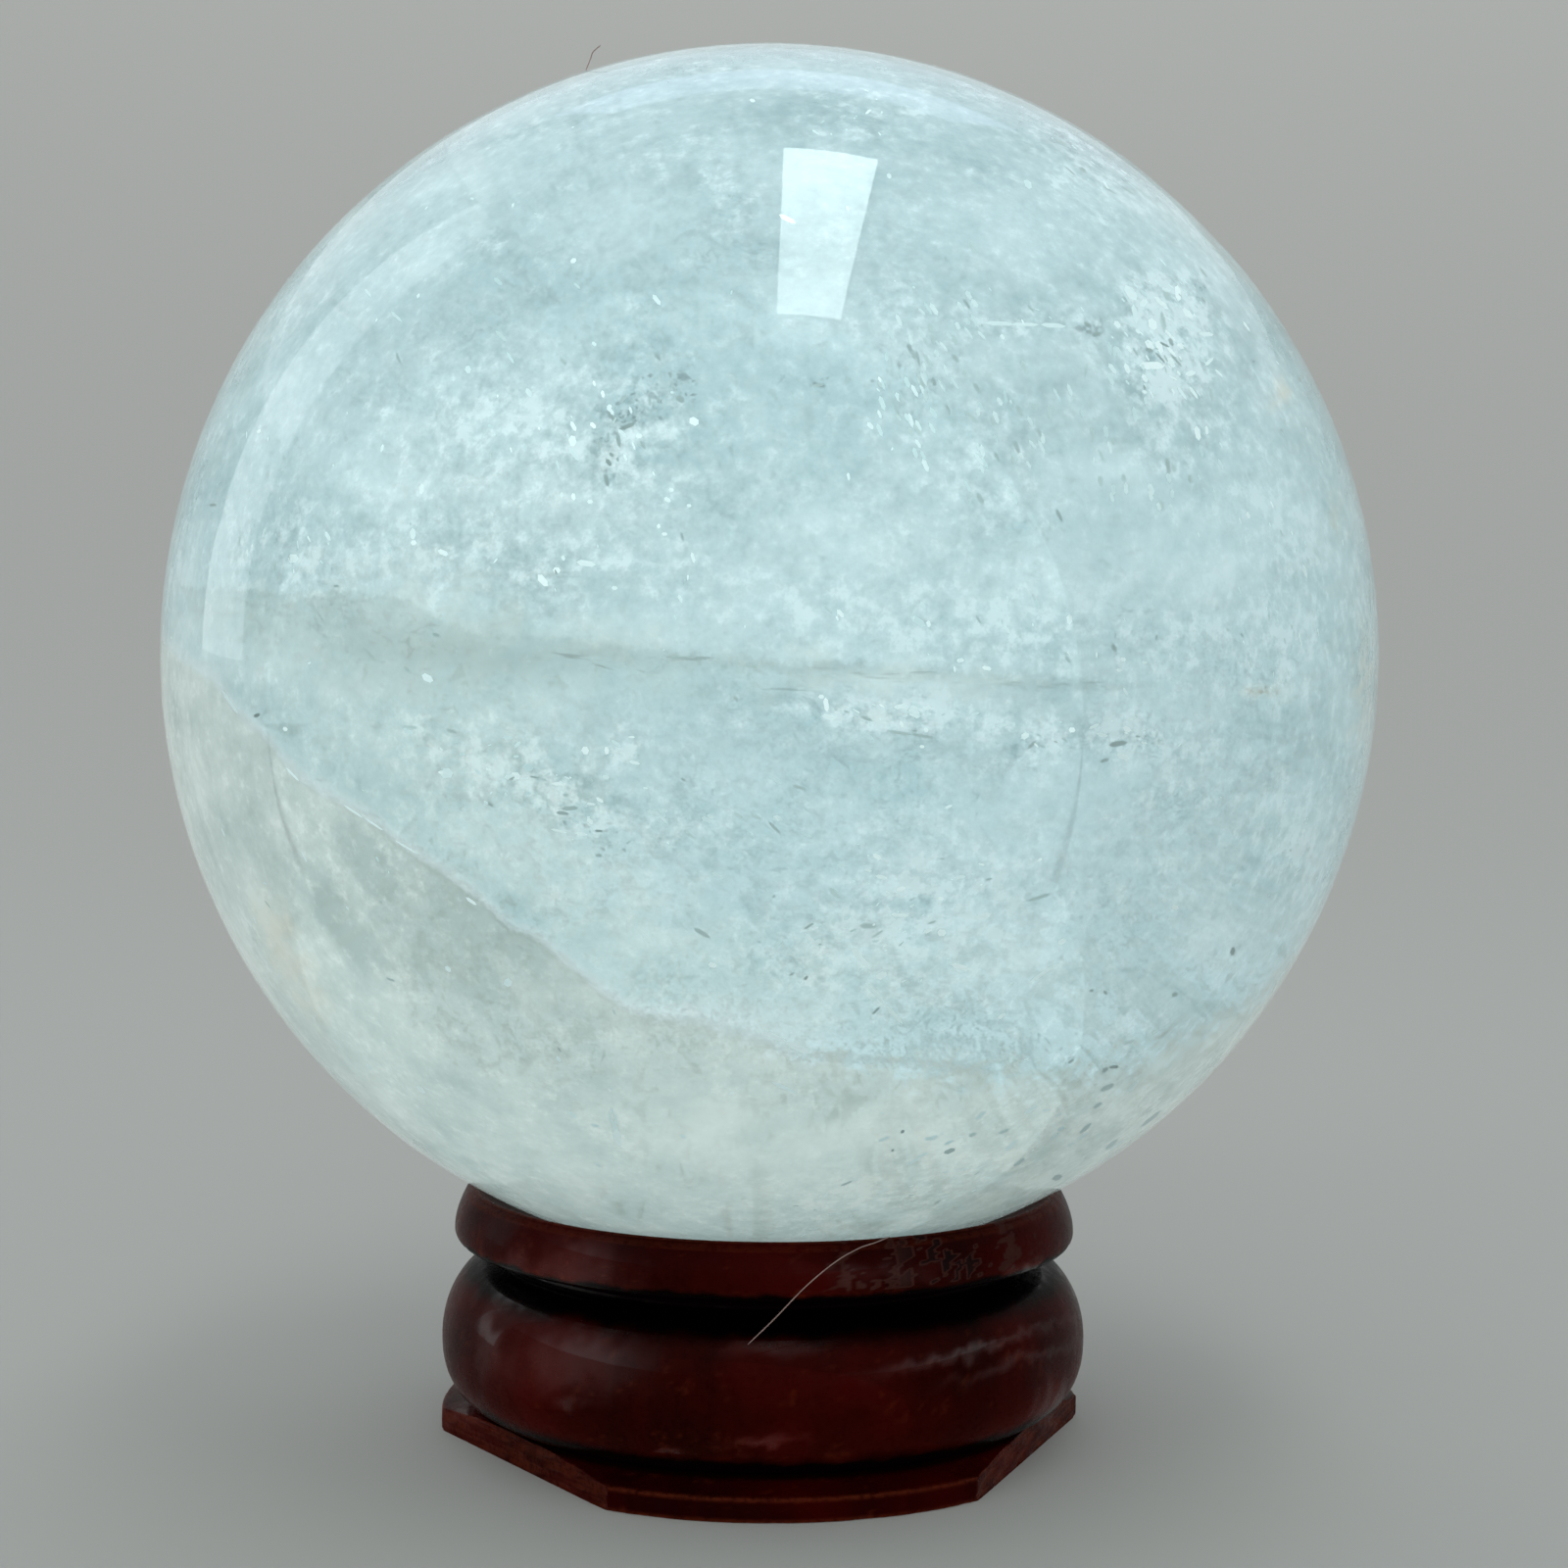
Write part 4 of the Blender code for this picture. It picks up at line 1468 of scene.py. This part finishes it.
STREAKS = [
    (700, 671, 16, 1, 1, 3, 0.01, 0.03), (930, 692, 90, 5, 3, 10, 0.01, 0.04),
    (1080, 696, 50, 3, 2, 5, 0.01, 0.04), (580, 588, 40, 3, 2, 5, 0.01, 0.04),
    (1268, 484, 14, 2, 2, 4, 0.01, 0.03), (590, 672, 50, 5, 11, 6, 0.01, 0.05),
    (800, 703, 20, 2, 0, 4, 0.01, 0.03), (935, 711, 24, 2, 6, 5, 0.01, 0.03),
]
FLAKES = [
    (1175, 310, 24, 40, 75, 30, 0.01, 0.05), (1180, 385, 28, 50, 70, 36, 0.01, 0.05),
    (1165, 430, 20, 30, 80, 30, 0.01, 0.06), (1220, 290, 30, 26, 40, 26, 0.01, 0.06),
    (1240, 430, 40, 40, 60, 24, 0.01, 0.08), (1040, 332, 44, 8, 0, 16, 0.01, 0.03),
    (840, 722, 30, 10, 10, 22, 0.01, 0.06), (930, 728, 70, 14, 5, 36, 0.01, 0.08),
    (1080, 748, 70, 12, 5, 30, 0.01, 0.08), (625, 768, 7, 9, 60, 6, 0.01, 0.03),
    (585, 266, 4, 4, 0, 3, 0.01, 0.02), (265, 440, 3, 3, 0, 3, 0.01, 0.02),
    (707, 430, 5, 4, 40, 4, 0.01, 0.02), (540, 450, 80, 50, 0, 60, 0.01, 0.12),
    (430, 560, 110, 28, 0, 34, 0.01, 0.12), (560, 800, 80, 25, 20, 36, 0.01, 0.10),
    (930, 930, 70, 45, 15, 60, 0.01, 0.10), (760, 860, 90, 20, 20, 20, 0.01, 0.12),
    (640, 900, 120, 60, 30, 16, 0.02, 0.2), (840, 118, 50, 10, 0, 12, 0.01, 0.05),
    (1330, 650, 20, 60, 0, 14, 0.01, 0.05), (1300, 850, 30, 40, 0, 14, 0.01, 0.05),
    (390, 1090, 60, 40, 40, 10, 0.01, 0.05), (500, 1000, 60, 60, 40, 12, 0.01, 0.08),
    (760, 1110, 60, 14, 10, 10, 0.01, 0.05), (1000, 560, 200, 60, 0, 26, 0.01, 0.15),
    (760, 700, 400, 300, 0, 60, 0.01, 0.2),
]
STAINS_AND_GLINT = [
    (1288, 706, 20, 5, 0, 8, 0.004, 0.012), (1392, 700, 3, 40, 0, 8, 0.006, 0.02),
    # the stain at (1305, 402) is a painted glint: pale yellow plates where a chip sparkles
    (1305, 402, 3, 7, 20, 5, 0.004, 0.012), (1328, 388, 10, 4, 0, 4, 0.006, 0.02),
    (1362, 530, 3, 16, 0, 5, 0.006, 0.02), (1335, 1080, 3, 3, 0, 2, 0.006, 0.02),
]
add_group("dark_specks", DARK_SPECKS, 81, (0.11, 0.06, 0.04), 0.45, DARK_GRAIN, 0.8, behind=False)
add_group("layer_streaks", STREAKS, 82, (0.45, 0.035, 0.02), 0.4, STREAK_GRAIN, 0.05, behind=False)
add_group("bright_flakes", FLAKES, 84, (0.17, 0.10, 0.015), 0.5, PALE_GRAIN, 0.4, (0.5, 1))
add_group("beige_stains_and_glint", STAINS_AND_GLINT, 85, (0.16, 0.09, 0.02), 0.4, BEIGE_GRAIN, 0.5)

# %% [markdown]
# ### Flakes and nicks in the polished face
#
# Where grinding cut through a cluster, its flakes lie open in the polished face: pale where they are
# solid, dark where a corner broke out. Each is a flat body with six uneven corners, set into the skin
# so that its top follows the ball. Most are strewn where the clusters are, and the ones that catch
# the eye first are put at their own places, each with its length, width and slant.

# %% Flakes that follow the skin
FLAKE_CORNERS = np.array([[1, 0, 0], [0.5, 0.85, 0], [-0.6, 0.9, 0], [-1, 0.1, 0], [-0.5, -0.85, 0],
                          [0.65, -0.75, 0], [0, 0, 0], [0, 0, 0]])
FLAKE_FACES = np.array([[0, 1, 6], [1, 2, 6], [2, 3, 6], [3, 4, 6], [4, 5, 6], [5, 0, 6],
                        [1, 0, 7], [2, 1, 7], [3, 2, 7], [4, 3, 7], [5, 4, 7], [0, 5, 7]])
FLAKE_LIFT = np.array([4, 4, 4, 4, 4, 4, 5, -25]) * 0.001 * MM
FLAKE_SIZE = 0.11 * MM
POLISHED = {"Roughness": 0.02, "IOR": QUARTZ_IOR}
OPEN_FLAKE = make_toned_finish("open_flake", (0.52, 0.71, 0.73), (0.82, 0.97, 0.98), POLISHED,
                               0.3 * MM, 2, 0.3)
OPEN_NICK = make_toned_finish("open_nick", (0.17, 0.24, 0.24), (0.50, 0.66, 0.66), POLISHED,
                              0.3 * MM, 2, 0.3)


def lay_flakes(name, middles, along, halves, tones, material):
    """Flakes in the skin: corners middle + turn (half * corner), drawn to the skin's own radius.

    The rim of each flake lies four thousandths of a millimetre over the skin and its lowest corner
    25 thousandths under it.
    """
    turns = lying_turns(middles - BALL_CENTRE, None, along)
    flat = halves[:, None, :] * FLAKE_CORNERS[None, :, :2]
    way = unit(middles[:, None] + np.einsum("nij,nkj->nki", turns[:, :, :2], flat) - BALL_CENTRE)
    radius = BALL_RADIUS - skin_loss(way.reshape(-1, 3)).reshape(way.shape[:2]) + FLAKE_LIFT
    item = join_copies(name, BALL_CENTRE + way * radius[..., None], FLAKE_FACES, tones)
    add_stone_piece(item, material)


def strewn_flakes(count, seed, thick):
    """Middles, long directions and half sizes of flakes that gather where clusters_at is high.

    A flake's slant follows its zone: steep above the dull layer, level under it, rising to the right
    low down, and falling to the right under the growth boundary. count flakes are tried.
    """
    rng = np.random.default_rng(seed)
    way = unit(rng.normal(size=(count, 3)))
    chance = 0.015 + 0.9 * smooth_step(clusters_at(way * BALL_RADIUS), 0.15, 1.3)
    way = way[(rng.random(count) < chance) & (abs(way[:, 2]) < 0.97)]
    spots = way * BALL_RADIUS
    under = above_line(spots, LAYER_LINE)
    slant = np.where(under > 0, 66, np.where(under > -9 * MM, 5, -28))
    slant = np.where((above_line(spots, BOUNDARY) < 0) & (spots[:, 0] < -4 * MM), 52, slant)
    slant = np.radians(slant + rng.normal(0, 22, len(way)))
    east = unit(np.cross([0, 0, 1.0], way))
    upward = np.cross(way, east)
    along = np.cos(slant)[:, None] * east - np.sin(slant)[:, None] * upward
    size = FLAKE_SIZE * rng.lognormal(0, 0.45, len(way)).clip(0.4, 2.6)
    halves = size[:, None] * np.stack([rng.uniform(0.8, 1.7, len(way)),
                                       thick * rng.uniform(0.6, 1.2, len(way))], -1)
    return BALL_CENTRE + spots, along, halves, rng.random(len(way))


for flake_name, flake_count, flake_seed, flake_thick, least, finish in (
        ("strewn_flakes", 22_000, 91, 0.6, 0.0, OPEN_FLAKE),
        ("strewn_nicks", 11_000, 92, 0.4, 0.25, OPEN_NICK)):
    middles, along, halves, tones = strewn_flakes(flake_count, flake_seed, flake_thick)
    lay_flakes(flake_name, middles, along, halves, least + (1 - least) * tones**0.7, finish)


# %% [markdown]
# ### Needles, chips and nicks at their own places
#
# The flakes that catch the eye are put where the picture has them, each with its length, width,
# slant and tone. The short slanted needles at the upper right and along the bottom stand so thickly
# that only their groups are given. Every third needle is a dark nick, and the others are pale.

# %% Chips, nicks and needles
NEEDLES = [  # place, half size of the group, slant and number of needles
    (960, 350, 40, 60, 62, 30), (930, 400, 40, 60, 66, 34), (1020, 450, 60, 60, 66, 34),
    (1120, 420, 50, 60, 80, 16), (1190, 500, 50, 30, 75, 16), (1110, 1150, 90, 30, -38, 16),
    (950, 1170, 80, 22, -25, 10), (760, 850, 120, 50, 35, 16), (500, 330, 90, 60, 50, 10),
    (898, 388, 2, 4, 66, 2),
]
NEEDLE_LONG = (8, 17)
NEEDLE_WIDE = (3, 5.5)


def lay_marks(name, marks, material):
    """One flake for each (x, y, length, width, slant, tone), in picture elements and degrees.

    Half its size is half the step between the skin points under the two ends of its length and of
    its width, so a flake near the ball's edge gets its full size.
    """
    x, y, long, wide, slant, tone = np.array(marks, float).T
    c, s = np.cos(np.radians(slant)) / 2, np.sin(np.radians(slant)) / 2
    length = skin_point(x + c * long, y + s * long)[0] - skin_point(x - c * long, y - s * long)[0]
    width = skin_point(x - s * wide, y + c * wide)[0] - skin_point(x + s * wide, y - c * wide)[0]
    halves = np.stack([np.linalg.norm(length, axis=1), np.linalg.norm(width, axis=1)], -1) / 2
    lay_flakes(name, skin_point(x, y)[0], length, halves, tone, material)


def needle_marks(groups, seed):
    """Thin marks strewn round each group's place, with lengths and widths in picture elements."""
    rng = np.random.default_rng(seed)
    each = np.repeat(np.array(groups, float), [int(group[5]) for group in groups], axis=0)
    u, v = rng.normal(0, 0.6, (2, len(each))) * each[:, 2:4].T
    slant = each[:, 4] + rng.normal(0, 8, len(each))
    return np.stack([each[:, 0] + u, each[:, 1] + v, rng.uniform(*NEEDLE_LONG, len(each)),
                     rng.uniform(*NEEDLE_WIDE, len(each)), slant,
                     rng.uniform(0, 0.6, len(each))], -1)


# each mark: place, length, width, slant, tone
BRIGHT_MARKS = [
    (1176, 373, 27, 8, -2, 1.0), (1202, 299, 17, 5, 88, 1.0), (1176, 331, 12, 10, 40, 0.9),
    (1173, 352, 12, 8, 70, 0.9), (1183, 354, 14, 7, 80, 0.95), (1154, 299, 14, 12, 20, 0.7),
    (1168, 386, 10, 5, 60, 0.9), (1168, 400, 5, 4, 0, 0.9), (1152, 356, 9, 4, 55, 0.9),
    (1150, 376, 12, 5, 70, 0.9), (1140, 331, 9, 6, 50, 0.8), (1167, 309, 10, 7, -50, 0.7),
    (1185, 309, 20, 5, 40, 0.8), (1212, 320, 12, 7, 30, 0.85), (1205, 353, 7, 6, 0, 0.9),
    (1215, 381, 11, 6, -20, 0.8), (1234, 369, 12, 4, -45, 0.7), (1231, 341, 15, 4, 0, 0.7),
    (1244, 381, 12, 2.5, 42, 0.9), (1161, 338, 6, 4, 60, 0.8), (1190, 296, 8, 4, 10, 0.6),
    (1158, 320, 20, 5, 80, 0.6), (1195, 370, 12, 6, 40, 0.8),
    (843, 719, 15, 6, 80, 1.0), (838, 711, 6, 5, 0, 0.9), (920, 739, 7, 4, 60, 0.95),
    (945, 745, 5, 5, 0, 0.9), (941, 762, 5, 4, 0, 0.9), (1094, 745, 7, 6, 0, 1.0),
    (1150, 744, 9, 6, 20, 1.0), (1146, 673, 6, 5, 0, 0.9), (1142, 684, 6, 4, 0, 0.85),
    (1168, 676, 6, 4, 0, 0.7), (1007, 682, 10, 5, 10, 0.9), (980, 674, 8, 5, -10, 0.7),
    (1046, 751, 9, 7, -30, 0.8), (1146, 772, 14, 7, 20, 0.8), (933, 728, 14, 9, 30, 0.6),
    (615, 402, 8, 4, 75, 0.9), (622, 415, 5, 5, 0, 0.6), (605, 434, 8, 5, 45, 1.0),
    (652, 445, 7, 6, 0, 0.8), (708, 430, 11, 9, 30, 0.8), (638, 467, 8, 3, 65, 0.8),
    (685, 500, 5, 5, 0, 0.8), (681, 510, 8, 5, 30, 0.7), (585, 507, 8, 5, 75, 0.9),
    (672, 537, 5, 4, 80, 0.9), (585, 435, 12, 5, 60, 0.8), (602, 512, 6, 5, 0, 0.7),
    (703, 516, 5, 4, 0, 0.6), (573, 505, 4, 6, 0, 0.6),
    (291, 744, 5, 5, 0, 1.0), (597, 766, 9, 8, 60, 0.9), (526, 792, 10, 9, 0, 0.8),
    (570, 800, 14, 4, 0, 1.0), (619, 766, 5, 9, 0, 1.0), (455, 789, 14, 12, 0, 0.5),
    (593, 851, 12, 4, 8, 0.8), (570, 848, 18, 3, 12, 0.8), (602, 838, 8, 5, 40, 0.8),
    (457, 989, 8, 5, 40, 0.7), (518, 1003, 9, 9, 40, 0.6), (429, 1112, 10, 5, 60, 0.9),
    (377, 1089, 9, 4, 40, 0.6), (570, 1081, 8, 4, 60, 0.6), (584, 1138, 8, 8, 0, 0.6),
    (422, 554, 6, 6, 0, 1.0), (452, 564, 12, 6, 20, 0.9), (299, 570, 11, 10, 0, 0.7),
    (568, 582, 8, 7, 0, 1.0), (598, 575, 20, 7, 8, 0.7), (707, 569, 12, 4, 75, 0.8),
    (678, 545, 6, 4, 0, 0.8), (436, 692, 13, 8, 25, 0.7), (627, 600, 6, 5, 0, 0.7),
    (727, 985, 9, 6, 10, 0.9), (1199, 926, 8, 6, 20, 1.0), (1188, 919, 6, 4, 0, 0.8),
    (878, 978, 32, 6, 48, 0.8), (829, 961, 24, 5, 48, 0.7), (893, 1014, 30, 5, 47, 0.6),
    (912, 1035, 28, 5, 47, 0.6),
    (980, 987, 20, 6, 15, 0.9), (961, 952, 9, 8, 0, 0.9), (918, 934, 19, 4, 5, 0.9),
    (1022, 1037, 10, 4, -40, 0.8), (1065, 993, 34, 4, -35, 0.7), (1084, 961, 10, 6, -30, 0.8),
    (697, 1160, 7, 4, 30, 0.6), (627, 1150, 40, 9, 78, 0.5), (630, 1161, 18, 7, 78, 0.9),
    (790, 1058, 30, 6, 25, 0.8), (814, 1069, 28, 8, 25, 0.8), (800, 1110, 30, 4, 24, 0.6),
    (659, 957, 12, 4, 50, 0.7),
    (360, 828, 24, 2.5, 33, 0.8), (381, 841, 24, 2.5, 33, 0.8), (415, 865, 28, 2.5, 30, 0.8),
    (298, 790, 20, 2.5, 45, 0.8),
    (234, 716, 30, 3, 55, 0.7),
    (1020, 330, 30, 5, 2, 0.5), (1046, 331, 30, 4, 0, 0.6), (1075, 332, 26, 5, 3, 0.5),
    (264, 440, 4, 4, 0, 1.0), (585, 266, 6, 6, 0, 0.9), (898, 388, 9, 3, 66, 0.9),
]
DARK_MARKS = [
    (624, 425, 16, 4, 52, 0.3), (640, 435, 18, 5, -22, 0.2), (631, 449, 15, 5, 80, 0.4),
    (621, 472, 9, 5, 50, 0.2), (624, 464, 6, 4, 40, 0.3), (619, 490, 14, 5, 75, 0.3),
    (611, 454, 12, 4, 80, 0.6), (694, 407, 10, 7, 40, 0.4), (672, 408, 7, 3, 60, 0.5),
    (663, 410, 7, 3, 80, 0.6), (684, 382, 6, 4, 70, 0.4), (687, 394, 12, 3, 60, 0.6),
    (671, 364, 10, 4, 50, 0.4), (636, 407, 12, 4, -50, 0.6), (656, 454, 10, 4, 55, 0.5),
    (1173, 357, 8, 4, 10, 0.4), (1184, 365, 15, 2.5, 45, 0.4), (1195, 349, 9, 4, 70, 0.5),
    (1228, 278, 16, 2, 52, 0.4), (1228, 306, 7, 3, 60, 0.5), (1168, 395, 6, 3, 80, 0.3),
    (1190, 300, 14, 6, 80, 0.8), (1187, 327, 20, 4, 78, 0.8), (1119, 341, 10, 5, -20, 0.4),
    (1110, 331, 9, 4, 20, 0.4), (1137, 661, 8, 5, 50, 0.5), (1090, 673, 9, 4, 50, 0.7),
    (918, 748, 24, 4, 9, 0.7), (941, 751, 24, 4, 9, 0.6), (1141, 759, 20, 6, -10, 0.5),
    (1127, 776, 10, 4, -20, 0.6),
    (262, 730, 7, 4, -20, 0.1), (343, 598, 6, 3, 0, 0.4), (445, 648, 8, 4, 20, 0.5),
    (695, 671, 30, 3, 1, 0.6), (416, 684, 9, 4, 30, 0.7), (574, 830, 14, 4, 5, 0.4),
    (500, 821, 9, 3, 30, 0.5), (611, 848, 9, 3, 0, 0.3), (611, 873, 7, 4, 0, 0.6),
    (716, 952, 20, 5, 30, 0.7), (886, 945, 18, 6, 0, 0.8), (1060, 916, 26, 4, -18, 0.7),
    (921, 1155, 4, 4, 0, 0.2), (911, 1174, 3, 3, 0, 0.3), (1128, 1013, 5, 3, 50, 0.5),
    (1114, 1011, 5, 3, 0, 0.6), (1199, 1015, 6, 4, 0, 0.6), (1258, 971, 7, 5, 70, 0.4),
    (1137, 1089, 10, 3, 0, 0.3), (1128, 1092, 8, 4, -30, 0.5), (1130, 1110, 16, 5, -20, 0.8),
    (1093, 1083, 8, 3, -40, 0.6), (1079, 1202, 7, 4, 30, 0.5), (835, 393, 12, 4, -10, 0.6),
    (1083, 145, 10, 4, 35, 0.5), (1105, 173, 9, 4, 35, 0.5), (216, 515, 8, 3, 0, 0.4),
]
lay_marks("bright_chips", BRIGHT_MARKS, OPEN_FLAKE)
needles = needle_marks(NEEDLES, 93)
dark_needles = needles[::3] + [0, 0, 0, 0, 0, 0.5]
lay_marks("dark_nicks", np.concatenate([DARK_MARKS, dark_needles]), OPEN_NICK)
lay_marks("slanted_needles", np.delete(needles, np.s_[::3], axis=0), OPEN_FLAKE)

# %% [markdown]
# ## Lint and dust
#
# A fine lint fibre lies over the front of the stand, from the belly up to the rim, and a bit of dust
# stands on top of the ball. Each is a thin tube: a ring of points carried along a smooth path.

# %% Fibres
FIBRE_SIDES = 8


def smooth_path(points, count):
    """count points of a smooth curve through the given points.

    Between two of them it is the cubic whose slope at each is half the step from the point before to
    the point after.
    """
    points = np.asarray(points, float)
    ends = np.concatenate([[2 * points[0] - points[1]], points, [2 * points[-1] - points[-2]]])
    at = np.linspace(0, len(points) - 1, count)
    first = np.minimum(at.astype(int), len(points) - 2)
    t = (at - first)[:, None]
    a, b, c, d = (ends[first + shift] for shift in range(4))
    return 0.5 * (2 * b + (c - a) * t + (2 * a - 5 * b + 4 * c - d) * t**2
                  + (3 * b - 3 * c + d - a) * t**3)


def make_fibre(name, route, thickness, count=60):
    """path + radius (cos a side + sin a other) for each path point, with closed ends.

    The radius thins out towards both ends as the fourth root of 1 - (2 share - 1)^8.
    """
    path = smooth_path(route, count)
    way = unit(np.gradient(path, axis=0))
    side = unit(np.cross(way, [0.0, -1.0, 0.35]))
    other = np.cross(way, side)
    share = np.linspace(0, 1, count)
    radius = thickness / 2 * np.clip(1 - (2 * share - 1) ** 8, 0.05, 1) ** 0.25
    angle = np.linspace(0, 2 * math.pi, FIBRE_SIDES, endpoint=False)
    ring = np.cos(angle)[None, :, None] * side[:, None] + np.sin(angle)[None, :, None] * other[:, None]
    points = (path[:, None] + ring * radius[:, None, None]).reshape(-1, 3)
    points = np.concatenate([points, path[:1], path[-1:]])
    length = float(np.linalg.norm(np.diff(path, axis=0), axis=1).sum())
    print(name, "length, mm:", round(length / MM, 2))
    return make_mesh(name, points, closed_faces(count, FIBRE_SIDES))


def stand_front(across, down, radius):
    """Where a ray of the picture meets an upright cylinder of that radius round the axis."""
    ray = picture_rays(across, down)
    a = ray[0] ** 2 + ray[1] ** 2
    b = ray[0] * CAMERA_AT[0] + ray[1] * CAMERA_AT[1]
    c = CAMERA_AT[0] ** 2 + CAMERA_AT[1] ** 2 - radius**2
    return CAMERA_AT + ray * (-b - math.sqrt(b * b - a * c)) / a


def make_lint_finish():
    """Pale pinkish grey with a fine change of tone along the fibre."""
    material, tree, shader = new_finish("lint")
    tone = noise(tree, object_place(tree), 0.5 * MM, 2, 0.5)
    set_inputs(shader, {"Base Color": blend(tree, tone, (0.14, 0.08, 0.07), (0.30, 0.21, 0.19)),
                        "Roughness": 0.7})
    return material


LINT = make_lint_finish()
LINT_ROUTE = [  # place in the picture and distance from the axis in mm
    (763, 1372, 16.20), (790, 1346, 16.32), (822, 1313, 16.30), (852, 1288, 16.05),
    (876, 1274, 15.75), (893, 1268, 15.62), (908, 1262, 15.50),
]
lint = make_fibre("lint_fibre", [stand_front(x, y, r * MM) for x, y, r in LINT_ROUTE], 0.055 * MM)
DUST_ROUTE = [  # place in the picture and height over the ball in mm
    (598, 72, 0.02), (604, 66, 0.25), (609, 57, 0.6), (618, 50, 0.9),
]
TOP_OF_BALL = 66
dust_path = []
for x, y, height in DUST_ROUTE:
    spot = skin_point(x, max(y, TOP_OF_BALL))[0]
    outward = (spot - BALL_CENTRE) / np.linalg.norm(spot - BALL_CENTRE)
    dust_path.append(spot + outward * height * MM)
dust = make_fibre("dust_fibre", dust_path, 0.05 * MM, 24)
for fibre in (lint, dust):
    fibre.data.materials.append(LINT)
    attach(fibre, "root")
